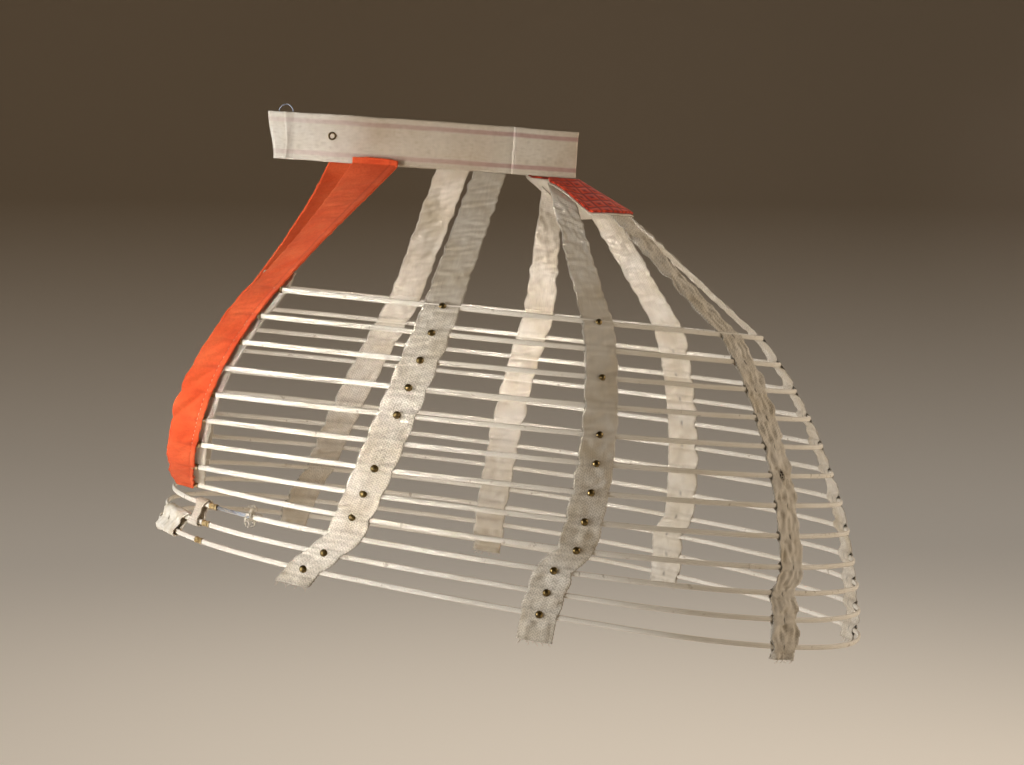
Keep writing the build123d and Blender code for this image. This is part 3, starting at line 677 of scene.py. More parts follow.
# Back yoke: a quilted collar round the waistband's back crease
yokeSpec = {
    "topRadius": 5.0, "setback": 7.0, "halfWidth": 39.5, "drop": 25.5, "frontRun": 30.0, "frontHalf": 20.0,
    "frontDrop": 4.0, "thickness": 1.8, "lining": 0.8, "gap": 0.2, "step": 1.5, "sag": 0.5, "edge": 1.6,
    "wings": {left: 0.82, right: 1.85}, "taper": {left: 0.7, right: 0.0},
}
outerBand = bandRadius + lapStep
yokeCorner = bandTurn @ Vector((sqrt((outerBand + bandSpec["thickness"] / 2) ** 2 - bandCentre ** 2),
                                -yokeSpec["topRadius"], -bandSpec["height"] / 2))
yokeTip = Vector((yokeCorner.x, 0, yokeCorner.z - yokeSpec["gap"]))


def backFold(angle):
    # Upper and lower end of a line down the collar behind the crease
    across = Vector((cos(angle), sin(angle), 0))
    upper = yokeTip + across * yokeSpec["topRadius"] - Vector((yokeSpec["setback"], 0, 0))
    return upper, yokeTip + across * yokeSpec["halfWidth"] - Vector((0, 0, yokeSpec["drop"]))


def wingEdge(side):
    upper, lower = backFold(side * pi / 2)
    place = yokeTip.x - yokeSpec["frontRun"]
    spot = bandFrame(side, place, outerBand, -bandSpec["height"] / 2)[0] - Vector((0, 0, yokeSpec["gap"]))
    corner = Vector((spot.x, side * yokeSpec["frontHalf"], spot.z - yokeSpec["frontDrop"]))
    facing = (lower - upper).cross(spot - upper).normalized()
    return spot, corner - facing * (corner - upper).dot(facing)


yokeQuarter = yokeSpec["halfWidth"] * pi / 2
wingLength = (wingEdge(left)[1] - backFold(-pi / 2)[1]).length


def yokeLine(run):
    # The line down the collar at a distance along its lower edge from the middle back, the right side
    # counted up
    side = right if run > 0 else left
    if abs(run) <= yokeQuarter:
        return backFold(run / yokeSpec["halfWidth"])
    share = (abs(run) - yokeQuarter) / wingLength
    ends = zip(backFold(side * pi / 2), wingEdge(side))
    return [mix(first, last, share) for first, last in ends]


def yokeAt(run, lift, sink):
    # A point on the collar, lift millimetres above its lower edge and sunk inwards, with its outward
    # direction
    def spot(run):
        upper, lower = yokeLine(run)
        return lower + (upper - lower).normalized() * lift, upper - lower
    point, rise = spot(run)
    outward = (spot(run + 0.5)[0] - spot(run - 0.5)[0]).cross(rise).normalized()
    return point - outward * sink, outward


def makeYoke(quilted, plain):
    spec = yokeSpec
    first, last = [side * (yokeQuarter + wingLength * spec["wings"][side]) for side in (left, right)]
    depth = (backFold(0)[0] - backFold(0)[1]).length

    coneLength = depth * spec["halfWidth"] / (spec["halfWidth"] - spec["topRadius"])

    def taper(run):
        # Share of the height cut away at the lower edge, towards the front of a wing
        share = (abs(run) - yokeQuarter) / (wingLength * spec["wings"][left])
        return spec["taper"][right if run > 0 else left] * ease(share)

    def flat(across, along):
        # The collar opened out: a cone round the back, then straight along each wing
        run = mix(first, last, along)
        turn = min(max(run, -yokeQuarter), yokeQuarter) / coneLength
        down = coneLength - mix(taper(run), 1, across) * depth
        share = max(abs(run) - yokeQuarter, 0) / wingLength
        ends = zip(wingEdge(right if run > 0 else left), backFold(copysign(pi / 2, run)))
        upper, lower = [(edge - fold).length for edge, fold in ends]
        onward = copysign(share * mix(lower, upper, across), run)
        return down * cos(turn) - onward * sin(turn), down * sin(turn) + onward * cos(turn)

    def layer(name, material, sink, thickness, reach, node):
        def lay(across, along):
            # The lower edge sags between the tapes sewn to it
            run = mix(first, last, along)
            upper, lower = yokeLine(run)
            length = (upper - lower).length
            point, outward = yokeAt(run, mix(taper(run) * length - reach, length, across),
                                    sink + thickness / 2)
            return point + outward * (spec["sag"] * waver(run / 13, across * 2.2) * (1 - across))

        bm = bmesh.new()
        addCut(bm, round(depth / spec["step"]), round((last - first) / spec["step"]), depth, last - first,
               lay, flat=flat)
        area = sum(face.calc_area() for face in bm.faces) * metre ** 2
        piece = finishPiece(bm, name, material, [node], thickness)

    layer("quilted_back_yoke", quilted, 0, spec["thickness"], 0, "back_yoke")
    sink = spec["thickness"] + 2 * spec["gap"]
    layer("cotton_back_yoke_lining", plain, sink, spec["lining"], spec["edge"],
          "back_yoke_lining")


# Tapes: double-woven, with a pocket for each hoop between the two plies
tapeSpec = {
    "width": 25.0, "ply": 0.6, "cloth": 0.34, "tail": 9.0, "tuck": 6.0, "gap": 0.2, "columns": 26,
    "step": 1.1,
    "scallop": 2.1, "pucker": 1.6, "fold": 0.75, "foldWidth": 5.2, "foldLength": 8.0, "crinkle": 1.1,
    "flutter": 1.3,
    "picot": 0.36, "picotPitch": 2.9, "pocketRoom": 0.3, "pocketFade": 3.0, "hem": 0.7, "footShift": 0.0,
}
backAngle = radians(48) * yokeSpec["halfWidth"]
wingMiddle = yokeQuarter + 0.55 * wingLength
tapeRuns = {
    "left_front": {"side": left, "band": 49.0, "stations": (-2.0, -64.0, -69.0, -97.0), "bow": -3.0,
                   "tail": 11.0, "hem": 1.5, "footShift": 6.0},
    "left_side": {"side": left, "yoke": -wingMiddle, "stations": (110.0, 82.0, 67.0, 58.0), "bow": 5.0,
                  "tail": 18.0, "tuck": 12.0},
    "left_back": {"side": left, "yoke": -backAngle, "setbacks": (39.5, 87.0, 101.0, 105.0), "bow": 1.0,
                  "fold": 2.0, "foldWidth": 3.6, "scallop": 3.4, "pucker": 2.4, "slitShade": 0.9, "hole": 6},
    "centre_back": {"side": left, "yoke": 0.0, "setbacks": (0.0, 0.0, 0.0, 0.0), "bow": 0.0, "pucker": 3.0,
                    "slitShade": 0.5},
    "right_back": {"side": right, "yoke": backAngle, "setbacks": (55.0, 101.0, 111.5, 112.0), "bow": 3.0,
                   "slitShade": 0.6},
    "right_side": {"side": right, "yoke": wingMiddle, "stations": (108.0, 81.5, 78.0, 75.0), "bow": -1.0},
    "right_front": {"side": right, "band": 26.0, "stations": (-2.0, -72.5, -82.0, -95.0), "bow": -1.0},
}
yokeSink = (yokeSpec["thickness"] + 2 * yokeSpec["gap"] + yokeSpec["lining"]
            + tapeSpec["gap"] + tapeSpec["ply"])


def layRows(rows, stops, column, gone):
    index = max(i for i, stop in enumerate(stops[:-1]) if stop <= gone + 1e-6)
    share = (gone - stops[index]) / (stops[index + 1] - stops[index])
    first, last = rows[index][column], rows[index + 1][column]
    return index, share, first[0].lerp(last[0], share), first[1].lerp(last[1], share).normalized()


def rowStops(rows):
    stops = [0.0]
    for above, below in zip(rows, rows[1:]):
        middle = len(above) // 2
        stops.append(stops[-1] + (below[middle][0] - above[middle][0]).length)
    return stops


class Tape:
    # Rows of points across a tape where it is sewn, where each hoop crosses it and at its hem
    def __init__(self, place, run):
        self.run = {**tapeSpec, "slitShade": 0.0, "hole": 0, **run}
        self.side = run["side"]
        self.seed = list(tapeRuns).index(place) * 7.3
        columns = tapeSpec["columns"]
        self.offsets = [(column / columns - 0.5) * tapeSpec["width"] for column in range(columns + 1)]
        self.rows = []
        for lift in (self.run["tuck"], 0):
            row = []
            for offset in self.offsets:
                if "band" in run:
                    radius = bandRadius - bandSpec["thickness"] / 2 - tapeSpec["gap"] - tapeSpec["ply"] - 0.3
                    point, backward, outward = bandFrame(self.side, run["band"] + offset, radius,
                                                         lift - bandSpec["height"] / 2)
                    row.append((point, outward))
                else:
                    row.append(yokeAt(run["yoke"] - self.side * offset, lift, yokeSink))
            self.rows.append(row)
        self.crossings = []
        for hoop in hoops:
            station = hoop.crossing(run.get("stations") or run["setbacks"], run["bow"])
            if "setbacks" in run:
                station = hoop.backReach - station
            middle = hoop.distanceTo(station, self.side)
            spots = [hoop.at(middle - self.side * offset) for offset in self.offsets]
            self.rows.append([(point, outward) for point, outward, onward in spots])
            self.crossings.append((hoop, middle))
        foot = hoops[-1].up * self.run["tail"] + hoops[-1].back * self.run["footShift"]
        self.rows.append([(point - foot, outward) for point, outward in self.rows[-1]])
        self.stops = rowStops(self.rows)
        self.length = self.stops[-1]
        self.lastHoop = len(self.rows) - 2

    def nearest(self, gone):
        return min(abs(gone - stop) for stop in self.stops[2:self.lastHoop + 1])

    def spot(self, column, gone):
        # Where a point of the tape's middle layer lies, its outward direction and how far the plies part
        # there
        run, seed = self.run, self.seed
        index, share, point, outward = layRows(self.rows, self.stops, column, gone)
        half, offset = run["width"] / 2, self.offsets[column]
        edgeSide = copysign(1, offset)
        middle = layRows(self.rows, self.stops, run["columns"] // 2, gone)[2]
        arch = sin(pi * share) if 1 < index < self.lastHoop else 0
        free = ease((gone - run["tuck"]) / 14)
        near = self.nearest(gone)
        held = 1 - 0.75 * swell(near, 2.2, 2.5)
        # Edges: scallops between hoops, slow waves above them, and picots all along
        loose = 0.8 + 0.9 * waver(index * 1.71 + 0.4, seed, edgeSide)
        if index > 1:
            reach = run["scallop"] * (arch - 0.45) * loose
        else:
            reach = 1.5 * waver(gone / 10, seed, edgeSide) * free
        reach += run["picot"] * sin(2 * pi * gone / run["picotPitch"]) if abs(offset) > half - 0.1 else 0
        point = middle + (point - middle) * (1 + reach / half)
        # Face: a pucker between hoops, folds along the tape, crinkles across it and loose edges
        push = run["pucker"] * arch * (0.8 + 0.8 * waver(index * 1.71, seed))
        push += run["fold"] * waver(offset / run["foldWidth"], gone / run["foldLength"], seed) * held * free
        push += run["crinkle"] * waver(gone / 4.6 + offset / 14, offset / 10, seed + 20) * held * free
        edge = max(abs(offset) / half - 0.6, 0) / 0.4
        push += run["flutter"] * edge * edge * waver(gone / 5.5, edgeSide * 2, seed) * held * free
        pocket = swell(near, hoopSpec["height"] / 2 + 0.3, run["pocketFade"])
        room = (hoopSpec["thickness"] / 2 + run["pocketRoom"]) * pocket
        if index == self.lastHoop:
            # The turned hem, and the curl of its end
            turned = ease((share * run["tail"] - 4.5) / 1.5)
            room = max(room, run["hem"] * turned)
            push += 1.2 * share * waver(offset / 9, seed, 3.0)
        return point + outward * push, outward, room

    def worn(self, across, along):
        # Painted shade in the open slits over the hoops where no stud is set, in a torn hole, at the pocket
        # edges and along the selvedges; and a soiled hem
        offset, gone = (across - 0.5) * self.run["width"], along * self.length
        dark = 0.0
        for number, stop in enumerate(self.stops[2:self.lastHoop + 1], 1):
            off = offset - 3.0 * waver(number * 2.7, self.seed)
            # Painted shade: the open slits over hoops without a stud are painted dark
            slitShadeMask = swell(off, 0.3, 0.9) * swell(gone - stop, 1.0, 1.6)
            dark = max(dark, self.run["slitShade"] * slitShadeMask)
            # Painted shade: the torn hole is painted dark in place of an opening
            if number == self.run["hole"]:
                torn = Vector((offset / 3.4, (gone - stop + 1) / 6.0)).length
                torn += 0.5 * waver(offset / 2, gone / 3)
                dark = max(dark, swell(torn, 0.6, 0.35))
        # Painted shade: a faint dark line at each pocket's edges, for the hoop's shadow through the cloth
        pocketShadeUnevenness = 0.6 + 0.6 * waver(offset / 4, gone / 9, self.seed)
        seam = 0.16 * swell(self.nearest(gone) - 2.7, 0.2, 0.6) * pocketShadeUnevenness
        # Painted shade: the selvedges are darkened near the edge, for the shadow of the cloth's rim
        selvedgeShade = 0.3 * swell(abs(offset) - self.run["width"] / 2, 0.1, 0.9)
        return max(dark, seam, selvedgeShade, 0.18 * ease((gone - self.length + 3) / 3))

    def build(self, bm):
        rows = round(self.length / self.run["step"])
        for ply in (1, -1):
            def lay(across, along):
                point, outward, room = self.spot(round(across * self.run["columns"]), along * self.length)
                # The plies close to one thickness at the selvedges
                closing = 0.5 - 0.4 * ease(abs(across - 0.5) * 26 - 12)
                return point + outward * (ply * (self.run["cloth"] * closing + room))
            addCut(bm, self.run["columns"], rows, self.run["width"], self.length, lay, self.worn)


tapes = {place: Tape(place, run) for place, run in tapeRuns.items()}


def makeTapes(material):
    for place, tape in tapes.items():
        bm = bmesh.new()
        tape.build(bm)
        piece = finishPiece(bm, "woven_tape_" + place, material, ["tape_" + place],
                            tapeSpec["cloth"])


# Studs: domed brass heads, each on a small washer, over the hoops
studSpec = {"radius": 2.6, "height": 1.7, "steps": 20,
            "lost": {"left_front": (6, 10), "left_side": (2, 4), "right_front": (), "right_side": ()}}


def makeStuds(material):
    radius, height = studSpec["radius"], studSpec["height"]
    profile = [(0, -0.3), (radius, -0.3), (radius * 1.02, 0.15), (radius * 0.94, 0.45),
               (radius * 0.8, height * 0.62), (radius * 0.5, height * 0.92), (0, height)]
    for place, lost in studSpec["lost"].items():
        bm = bmesh.new()
        for hoop, middle in tapes[place].crossings:
            if hoop.number not in lost:
                point, outward, onward = hoop.at(middle)
                seat = hoopSpec["thickness"] / 2 + tapeSpec["pocketRoom"] + tapeSpec["ply"]
                addTurned(bm, profile, studSpec["steps"],
                          frameMatrix(point + outward * seat, onward, outward.cross(onward), outward))
        finishPiece(bm, "brass_studs_" + place, material, ["studs_" + place])


# Front straps: folded wool, with the hoop ends held between strap and lining
strapSpec = {
    "topWidth": 33.0, "width": 21.0, "thickness": 1.4, "overlap": 3.0, "lap": 5.0, "tail": 9.0, "gap": 0.2,
    "places": {left: -37.0, right: -52.0}, "clipHalf": 1.6, "columns": 28, "step": 1.1, "pucker": 1.8,
    "crease": 1.15,
    "hem": 0.5, "hemWidth": 3.6, "wave": 1.5, "twist": 14.0, "roll": 4.5, "stitch": 1.6, "stitchPitch": 3.4,
}
liningSpec = {"width": 20.0, "overlap": 8.0, "rise": 20.0, "drawnIn": 5.0, "tail": 5.0, "thickness": 0.8,
              "columns": 16, "step": 2.0}


def endRow(hoop, side, shift, front, width, offsets):
    # Points across a strap or lining at an open hoop's end
    point, outward, onward = hoop.at(0 if side == left else hoop.length)
    backward = onward * -side
    middle = point + outward * shift - backward * front
    return [(middle + backward * (offset * width), outward) for offset in offsets]


def makeStraps(wool, plain, thread):
    spec = strapSpec
    stitches = bmesh.new()
    for side in (left, right):
        columns = spec["columns"]
        offsets = [column / columns - 0.5 for column in range(columns + 1)]
        outer = bandRadius + bandSpec["thickness"] / 2 + spec["gap"] + spec["thickness"] / 2 + 0.4
        shift = spec["clipHalf"] + spec["gap"] + spec["thickness"] / 2
        rows = []
        for rise in (spec["lap"], -0.2):
            row = []
            for offset in offsets:
                lift = rise + (2.2 * waver(offset * 3, side) - 3 * offset * offset if rise > 0 else 0)
                place = spec["places"][side] + offset * spec["topWidth"]
                point, backward, outward = bandFrame(side, place, outer, lift - bandSpec["height"] / 2)
                row.append((point, outward))
            rows.append(row)
        for hoop in openHoops:
            rows.append(endRow(hoop, side, shift, spec["width"] / 2 - spec["overlap"], spec["width"],
                               offsets))
        last = [(above[0], below[0], below[1]) for above, below in zip(rows[-2], rows[-1])]
        rows.append([(below + (below - above).normalized() * spec["tail"], outward) for above, below,
                     outward in last])
        stops = rowStops(rows)
        length = stops[-1]

        def lay(across, along):
            column, gone = round(across * columns), along * length
            index, share, point, outward = layRows(rows, stops, column, gone)
            offset = offsets[column]
            arch = sin(pi * share) if 1 < index < len(rows) - 2 else 0
            loose = 0.7 + 0.7 * waver(index * 1.9, side * 5.0)
            near = min(abs(gone - stop) for stop in stops[2:-1])
            free = ease((gone - spec["lap"]) / 25)
            # Puckers between the hoop ends, creases that slant away from them, turned hems and an uneven
            # free edge
            push = spec["pucker"] * arch * loose * (0.7 - offset)
            push += spec["crease"] * waver(gone / 9 + offset * 2.6, offset * 1.6, side * 9.0) * free
            push += 0.5 * spec["crease"] * waver(gone / 3.6 + offset * 2.0, offset * 2.4,
                                                 side * 3.0) * (0.4 + 0.6 * free)
            push -= 0.7 * swell(near, 0.6, 2.2) * ease(offset + 0.4)
            inset = (0.5 - offset) * spec["width"]
            push += spec["hem"] * swell(inset, spec["hemWidth"] - 1.0,
                                        0.9) - 0.3 * swell(inset - spec["hemWidth"], 0.3, 0.8)
            push += spec["twist"] * offset * sin(pi * share) if index == 1 else 0
            push -= spec["roll"] * (0.5 - offset) * free * (1 - gone / length)
            backward = (rows[index][-1][0] - rows[index][0][0]).normalized()
            front = (spec["wave"] * (arch * loose - 0.5)
                     + 0.8 * waver(gone / 6, side * 4.0)) * ease((-offset - 0.1) / 0.4)
            back = 0.8 * waver(gone / 5, side * 6.0) * ease((offset - 0.2) / 0.3)
            return point + outward * push + backward * ((back - front) * ease((gone - 20) / 30))

        def worn(across, along):
            # Painted shade: darker red in the creases by the hoop ends and along the hem's stitching
            gone = along * length
            near = min(abs(gone - stop) for stop in stops[2:-1])
            crease = swell(near, 0.5,
                           2.5) * ease(across * 1.3) * (0.5 + 0.5 * waver(gone / 2, across * 3, side))
            hem = swell((1 - across) * spec["width"] - spec["hemWidth"], 0.2, 0.7)
            return 0.7 * max(crease, 0.6 * hem)

        bm = bmesh.new()
        addCut(bm, columns, round(length / spec["step"]), spec["width"], length, lay, worn)
        name = f"front_strap_{sideNames[side]}"
        piece = finishPiece(bm, "wool_" + name, wool, [name], spec["thickness"])

        # Running stitches along the back edge's hem
        seam = 1 - spec["hemWidth"] / spec["width"]
        for number in range(round((length - 24) / spec["stitchPitch"])):
            gone = 20 + number * spec["stitchPitch"]
            ends = [lay(seam, (gone + run) / length) for run in (0, spec["stitch"])]
            outward = layRows(rows, stops, round(seam * columns), gone)[3]
            addThread(stitches, lambda share: ends[0].lerp(ends[1], share)
                      + outward * (0.72 + 0.2 * sin(pi * share)), 0.17, 4)

        columnsIn = liningSpec["columns"]
        offsetsIn = [column / columnsIn - 0.5 for column in range(columnsIn + 1)]
        sunk = -(spec["clipHalf"] + spec["gap"] + liningSpec["thickness"] / 2)
        rowsIn = [endRow(hoop, side, sunk, liningSpec["width"] / 2 - liningSpec["overlap"],
                         liningSpec["width"], offsetsIn)
                  for hoop in openHoops]
        # The lining runs on up behind the strap, and down from the last hoop
        towards = (rows[1][len(rows[1]) // 2][0] - rows[2][len(rows[2]) // 2][0]).normalized()
        inward = (rowsIn[0][0][0] - rowsIn[0][-1][0]).normalized() * liningSpec["drawnIn"]
        rowsIn.insert(0, [(point + towards * liningSpec["rise"] + inward - outward, outward) for point,
                          outward in rowsIn[0]])
        onward = [(below[0] - above[0]).normalized() for above, below in zip(rowsIn[-2], rowsIn[-1])]
        rowsIn.append([(point + step * liningSpec["tail"], outward) for (point, outward),
                       step in zip(rowsIn[-1], onward)])
        stopsIn = rowStops(rowsIn)

        def layIn(across, along):
            column, gone = round(across * columnsIn), along * stopsIn[-1]
            index, share, point, outward = layRows(rowsIn, stopsIn, column, gone)
            arch = sin(pi * share) if 0 < index < len(rowsIn) - 2 else 0
            backward = (rowsIn[index][-1][0] - rowsIn[index][0][0]).normalized()
            wave = backward * (1.1 * waver(gone / 7, side * 2.0) * ease((across - 0.5) * 2))
            return point - outward * (0.9 * arch + 0.3 * waver(gone / 6, offsetsIn[column] * 3, side)) + wave

        bm = bmesh.new()
        addCut(bm, columnsIn, round(stopsIn[-1] / liningSpec["step"]), liningSpec["width"], stopsIn[-1],
               layIn)
        name = f"front_strap_lining_{sideNames[side]}"
        piece = finishPiece(bm, "tape_" + name, plain, [name], liningSpec["thickness"])
    finishPiece(stitches, "strap_hem_stitches", thread, closed=True)


# Clips on the ends of the open hoops, and crimps over the joints of the closed ones
clipSpec = {"length": 5.0, "grow": 0.38, "pinch": 0.22, "bareEnd": 4}
crimpSpec = {"length": 9.0, "grow": 0.42, "pinch": 0.25}


def addSleeve(bm, hoop, first, last, grow, pinch):
    # A thin metal sleeve closed onto the braid, pinched in its middle and rolled in and browned at its ends
    def ends(share):
        return swell(min(share, 1 - share) * (last - first), 0.2, 0.6)

    def lay(turn, share):
        dent = pinch * swell(share - 0.5, 0.12, 0.2)
        return hoop.ring(mix(first, last, share), turn, grow - dent - 0.3 * ends(share))

    addTube(bm, 16, 18, 12.0, abs(last - first), lay, lambda turn, share: 0.8 * ends(share))


def makeClips(material):
    for side in (left, right):
        bm = bmesh.new()
        for hoop in openHoops:
            if side == right or hoop.number != clipSpec["bareEnd"]:
                first = -0.4 if side == left else hoop.length - clipSpec["length"]
                addSleeve(bm, hoop, first, first + clipSpec["length"] + 0.4, clipSpec["grow"],
                          clipSpec["pinch"])
        name = f"hoop_end_clips_{sideNames[side]}"
        finishPiece(bm, "brass_" + name, material, [name], closed=True)
    bm = bmesh.new()
    half = crimpSpec["length"] / 2
    for hoop in closedHoops:
        addSleeve(bm, hoop, hoop.length - half, hoop.length + half, crimpSpec["grow"], crimpSpec["pinch"])
    finishPiece(bm, "brass_hoop_joint_crimps", material, ["hoop_joint_crimps"], closed=True)


# Tape tie and kid binding that hold the closed hoops together at the front
tieSpec = {"angle": 31.0, "width": 13.0, "radius": 2.9, "waist": 0.3, "skew": 0.0, "flare": 0.0,
           "thickness": 0.8, "around": 64, "along": 16, "crumple": 0.3, "crease": 5.0, "hole": 0.0}
kidSpec = {"angle": 20.0, "width": 42.0, "radius": 2.9, "waist": 0.15, "skew": -6.0, "flare": 1.4,
           "thickness": 0.9, "around": 80, "along": 56, "crumple": 1.3, "crease": 13.0, "hole": 1.3}


def makeWrap(name, node, spec, upper, lower, material):
    halfTurn = degrees(spec["width"] / upper.noseRadius) / 2
    gap = (upper.noseAt(spec["angle"])[0] - lower.noseAt(spec["angle"])[0]).length
    girth = 2 * gap + 2 * pi * spec["radius"]

    def loop(turn):
        # Round a flat loop: over the upper hoop, down inside, under the lower hoop and up outside
        gone, arc, reach = (turn % 1) * girth, pi * spec["radius"], gap / 2
        if gone < arc or arc + gap <= gone < 2 * arc + gap:
            lean = gone / spec["radius"] if gone < arc else pi + (gone - arc - gap) / spec["radius"]
            middle = reach if gone < arc else -reach
            return spec["radius"] * cos(lean), middle + spec["radius"] * sin(lean), (cos(lean), sin(lean))
        if gone < arc + gap:
            return -spec["radius"], reach - (gone - arc), (-1, 0)
        return spec["radius"], gone - 2 * arc - gap - reach, (1, 0)

    def lay(turn, along):
        angle = mix(spec["angle"] - halfTurn, spec["angle"] + halfTurn, along)
        top, outward, onward = upper.noseAt(angle)
        foot = lower.noseAt(angle)[0]
        up = (top - foot).normalized()
        across, rise, face = loop(turn)
        between = 1 - abs(rise) / (gap / 2 + spec["radius"])
        place = along * spec["width"]
        crumple = spec["crumple"] * waver(rise / spec["crease"], place / spec["crease"], across + 2.0)
        crumple += 0.4 * spec["crumple"] * waver(rise / spec["crease"] * 2.6, place / spec["crease"] * 2.6,
                                                 across + 5.0)
        # Drawn in between the hoops, and flared at the end towards the front
        push = 0.5 + crumple - 1.4 * between * abs(face[0])
        push += spec["flare"] * ease(1 - along * 2) * max(-face[1], face[0], 0)
        shift = (0.5 - along) * spec["width"] * spec["waist"] * ease(between * 1.6)
        shift += spec["skew"] * (0.5 - rise / gap)
        shift += copysign(1.2, along - 0.5) * waver(rise / 6, across, 8.0) * ease(abs(along - 0.5) * 2)
        point = (top + foot) / 2 + outward * across + up * rise + onward * shift
        return point + (outward * face[0] + up * face[1]) * push

    def worn(turn, along):
        # Painted shade: the hole left by a stud, painted dark on the outer face
        across, rise, face = loop(turn)
        if not spec["hole"]:
            return 0
        off = Vector((rise - 1.0, (along - 0.42) * spec["width"])).length
        return 0.9 * swell(off, spec["hole"], 0.6) * max(face[0], 0)

    bm = bmesh.new()
    addTube(bm, spec["around"], spec["along"], girth, spec["width"], lay, worn, capped=False)
    finishPiece(bm, name, material, [node], spec["thickness"])


# Loose threads: each starts in the cloth it comes from
threadSpec = {"radius": 0.22, "tuft": 22, "tuftRadius": 0.42, "strands": 5, "strandRadius": 0.2,
              "endLength": 9, "hemThreads": 9, "holeThreads": 12}


def looseThread(start, direction, length, droop=0.3, curl=1.5, turns=4.2):
    # A thread's line: it leaves a point, droops and curls
    direction = direction.normalized()
    side = direction.cross(Vector((0.2, 0.1, 1))).normalized()
    lift = side.cross(direction)

    def line(share):
        gone, swing = share * length, share * turns + start.x
        fall = Vector((0, 0, droop * length * share * share))
        coil = side * (sin(swing) - sin(start.x)) + lift * (cos(swing) - cos(start.x))
        return start + direction * (gone * (1 - 0.25 * share)) - fall + coil * (curl * share)
    return line


def makeThreads(material):
    bm = bmesh.new()
    radius = threadSpec["radius"]
    # Frayed braid where the tenth hoop is worn through, and strands left along its bare steel
    worn = closedHoops[0]
    point, outward, onward = worn.at(1.0)
    for index in range(threadSpec["tuft"]):
        lean = index * 2.4
        away = worn.up * sin(lean) + outward * cos(lean)
        start = point + away * 1.3 + onward * (0.3 * (index % 5) - 0.8)
        way = away + onward * (0.9 * waver(index * 1.3) - 0.5)
        addThread(bm, looseThread(start, way, 5 + (index * 5) % 8, 0.15, 2.4, 6.5), threadSpec["tuftRadius"],
                  16)
    for index in range(threadSpec["strands"]):
        lean = index * 1.7

        def strand(share):
            angle = mix(hoopSpec["bareAngle"], hoopSpec["crimpAngle"] + 1.6, share)
            spot, outward, onward = worn.noseAt(angle)
            swing, away = lean + share * 9, 0.9 + 0.5 * waver(share * 6, index)
            return spot + (outward * cos(swing) + worn.up * sin(swing)) * away

        addThread(bm, strand, threadSpec["strandRadius"], 40)
    # Ends that hang from the hoop ends on the left strap
    for hoop in openHoops[1::2]:
        point, outward, onward = hoop.at(3.0)
        way = onward * 0.6 + outward + hoop.up * waver(hoop.number)
        addThread(bm, looseThread(point + outward * 2.0, way, threadSpec["endLength"], 0.5, 2.0), radius, 18)
    # Frayed hems of the tapes, and the threads of the torn place
    for tape in tapes.values():
        for index in range(threadSpec["hemThreads"]):
            column = (index * 11 + int(tape.seed)) % (tapeSpec["columns"] + 1)
            point, outward, room = tape.spot(column, tape.length - 0.3)
            way = -hoops[-1].up + outward * 0.4 * waver(index, tape.seed)
            addThread(bm, looseThread(point, way, 2 + index % 3, 0.1, 1.0), radius, 10)
        if tape.run["hole"]:
            for index in range(threadSpec["holeThreads"]):
                gone = tape.stops[1 + tape.run["hole"]] + (index % 6) * 1.6 - 4
                point, outward, room = tape.spot(round(tapeSpec["columns"] * (0.32 + 0.03 * index)), gone)
                way = outward * 0.8 + Vector((sin(index * 2.1), 0, cos(index * 2.1)))
                addThread(bm, looseThread(point + outward * (room + 0.4), way, 4 + index % 5, 0.5, 2.0),
                          radius, 14)
    finishPiece(bm, "loose_threads", material, closed=True)


# Stage, light and camera
stageSpec = {"floor": -0.8, "back": 3.4, "front": -2.6, "half": 7.0, "rise": 4.0, "sweep": 1.2, "steps": 20,
             "glow": 0.24, "topGlow": 0.03, "paintedShadeTop": 0.2}
cameraSpec = {"place": (-0.1325, -1.350, -0.1132), "pitch": -2.745, "yaw": 8.409, "lens": 63.28,
              "sensor": 36.0}
lightSpec = [
    {"name": "left_softbox", "place": (-1.56, -0.84, -0.2), "aim": (0.0, 0.0, -0.2), "size": 0.8,
     "power": 7.5, "tint": "#fffefc", "spread": 90.0},
    {"name": "right_softbox", "place": (1.8, -0.1, 0.2), "aim": (0.1, 0.0, -0.2), "size": 0.9, "power": 15.0,
     "tint": "#fff0dd"},
    {"name": "front_softbox", "place": (-0.75, -1.25, -0.25), "aim": (-0.07, -0.14, -0.16), "size": 0.2,
     "power": 0.12, "tint": "#fffaf2", "spread": 11.0},
    {"name": "back_softbox", "place": (0.4, 1.7, 1.5), "aim": (0.0, 0.0, -0.2), "size": 1.0, "power": 18.0,
     "tint": "#fff4e6"},
]


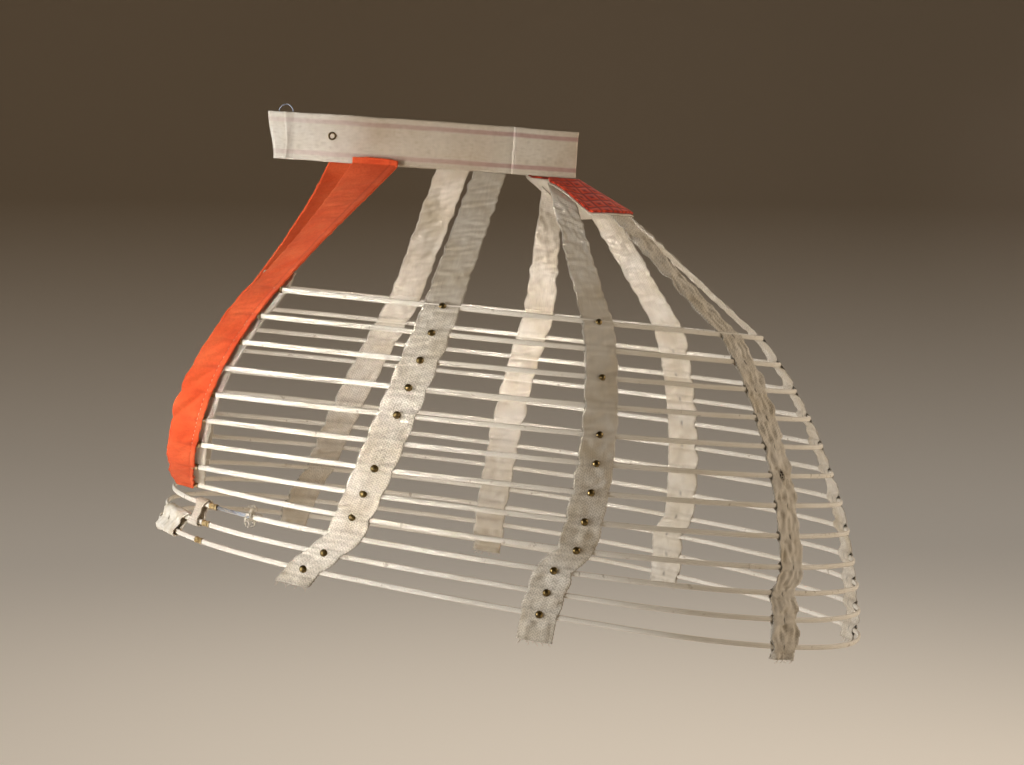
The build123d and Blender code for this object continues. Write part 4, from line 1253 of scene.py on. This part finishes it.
def makeStage():
    # Matt paper sweep: pale and warm, with painted shade that darkens it up the backdrop. It glows a little
    # to the camera and to gloss, so that it stays pale
    # without more light on the cage.
    material, tree, shader = newMaterial("matt_paper_sweep", {"Roughness": 0.95, "Specular IOR Level": 0.1})
    place = addNode(tree, "SeparateXYZ", {"Vector": addNode(tree, "TexCoord", {}, "Object")}, "Z")
    height = addNode(tree, "MapRange",
                     {"Value": place, "From Min": stageSpec["floor"], "From Max": stageSpec["paintedShadeTop"]})
    # Painted shade: pale at the floor and darker up the backdrop, in place of light falling off
    tone = addNode(tree, "ValToRGB", {"Fac": height, "stops": [(0.0, "#eee6da"), (1.0, "#b3a593")]})
    tree.links.new(tone, shader.inputs["Base Color"])
    camera = addNode(tree, "LightPath", {}, "Is Camera Ray")
    path = camera.node.outputs
    seen = addNode(tree, "Math", {"operation": "MAXIMUM", 0: camera, 1: path["Is Glossy Ray"]})
    seen = addNode(tree, "Math", {"operation": "MAXIMUM", 0: seen, 1: path["Is Transmission Ray"]})
    level = addNode(tree, "MapRange",
                    {"Value": height, "To Min": stageSpec["glow"], "To Max": stageSpec["topGlow"]})
    glow = addNode(tree, "Math", {"operation": "MULTIPLY", 0: seen, 1: level})
    tree.links.new(tone, shader.inputs["Emission Color"])
    tree.links.new(glow, shader.inputs["Emission Strength"])
    spec = stageSpec
    bm = bmesh.new()
    line = [bm.verts.new((-spec["half"], spec[edge], spec["floor"])) for edge in ("front", "back")]
    bm.edges.new(line)
    made = bmesh.ops.spin(bm, geom=[line[1]],
                          cent=(-spec["half"], spec["back"], spec["floor"] + spec["sweep"]),
                          axis=(1, 0, 0), angle=pi / 2, steps=spec["steps"])
    top = [item for item in made["geom_last"] if isinstance(item, bmesh.types.BMVert)]
    lifted = bmesh.ops.extrude_vert_indiv(bm, verts=top)["verts"]
    bmesh.ops.translate(bm, verts=lifted, vec=(0, 0, spec["rise"]))
    wide = bmesh.ops.extrude_edge_only(bm, edges=bm.edges[:])["geom"]
    bmesh.ops.translate(bm, verts=[item for item in wide if isinstance(item, bmesh.types.BMVert)],
                        vec=(2 * spec["half"], 0, 0))
    mesh = bpy.data.meshes.new("paper_sweep")
    bm.to_mesh(mesh)
    bm.free()
    mesh.polygons.foreach_set("use_smooth", [True] * len(mesh.polygons))
    mesh.materials.append(material)
    floor = bpy.data.objects.new("paper_sweep", mesh)
    bpy.context.scene.collection.objects.link(floor)


def makeLights():
    for spec in lightSpec:
        lamp = bpy.data.lights.new(spec["name"], "AREA")
        lamp.energy = spec["power"]
        lamp.size = spec["size"]
        lamp.spread = radians(spec.get("spread", 180.0))
        lamp.color = linear(spec["tint"])[:3]
        holder = bpy.data.objects.new(spec["name"], lamp)
        holder.location = spec["place"]
        toward = Vector(spec["aim"]) - Vector(spec["place"])
        holder.rotation_euler = toward.to_track_quat("-Z", "Y").to_euler()
        bpy.context.scene.collection.objects.link(holder)
    world = bpy.data.worlds.new("soft_room")
    bpy.context.scene.world = world
    world.use_nodes = True
    world.node_tree.nodes["Background"].inputs["Color"].default_value = linear("#f0d6b4")
    world.node_tree.nodes["Background"].inputs["Strength"].default_value = 0.11


def makeCamera():
    camera = bpy.data.objects.new("photo_camera", bpy.data.cameras.new("photo_camera"))
    camera.data.lens = cameraSpec["lens"]
    camera.data.sensor_width = cameraSpec["sensor"]
    camera.data.sensor_fit = "HORIZONTAL"
    camera.location = cameraSpec["place"]
    camera.rotation_euler = (radians(90 + cameraSpec["pitch"]), 0, -radians(cameraSpec["yaw"]))
    bpy.context.scene.collection.objects.link(camera)
    bpy.context.scene.camera = camera


tapeCotton = herringboneTape()
brass, sleeves, steel = [agedMetal(name) for name in metals]
lining, thread = plainCotton(), sewingThread()
makeHoops(braidCotton())
print("hoops braided")
makeBand(bandWebbing(bandSpec["height"]))
makeEyelet(brass)
makeHook(steel)
print("waistband hung")
makeYoke(quiltedWool(), lining)
print("yoke quilted")
makeTapes(tapeCotton)
makeStuds(brass)
print("tapes threaded and studded")
makeStraps(redWool(), lining, thread)
makeClips(sleeves)
print("straps sewn")
makeWrap("tape_front_tie", "front_tie", tieSpec, closedHoops[0], closedHoops[1], tapeCotton)
makeWrap("kid_front_binding", "front_binding", kidSpec, closedHoops[1], closedHoops[2], whiteKid())
makeThreads(thread)
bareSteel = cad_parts["hoop_10_bare_steel"].data.materials
bareSteel.clear()
bareSteel.append(steel)
print("front wrapped and frayed")
makeStage()
makeLights()
makeCamera()
bpy.context.scene.view_settings.view_transform = "Standard"
print("stage set")
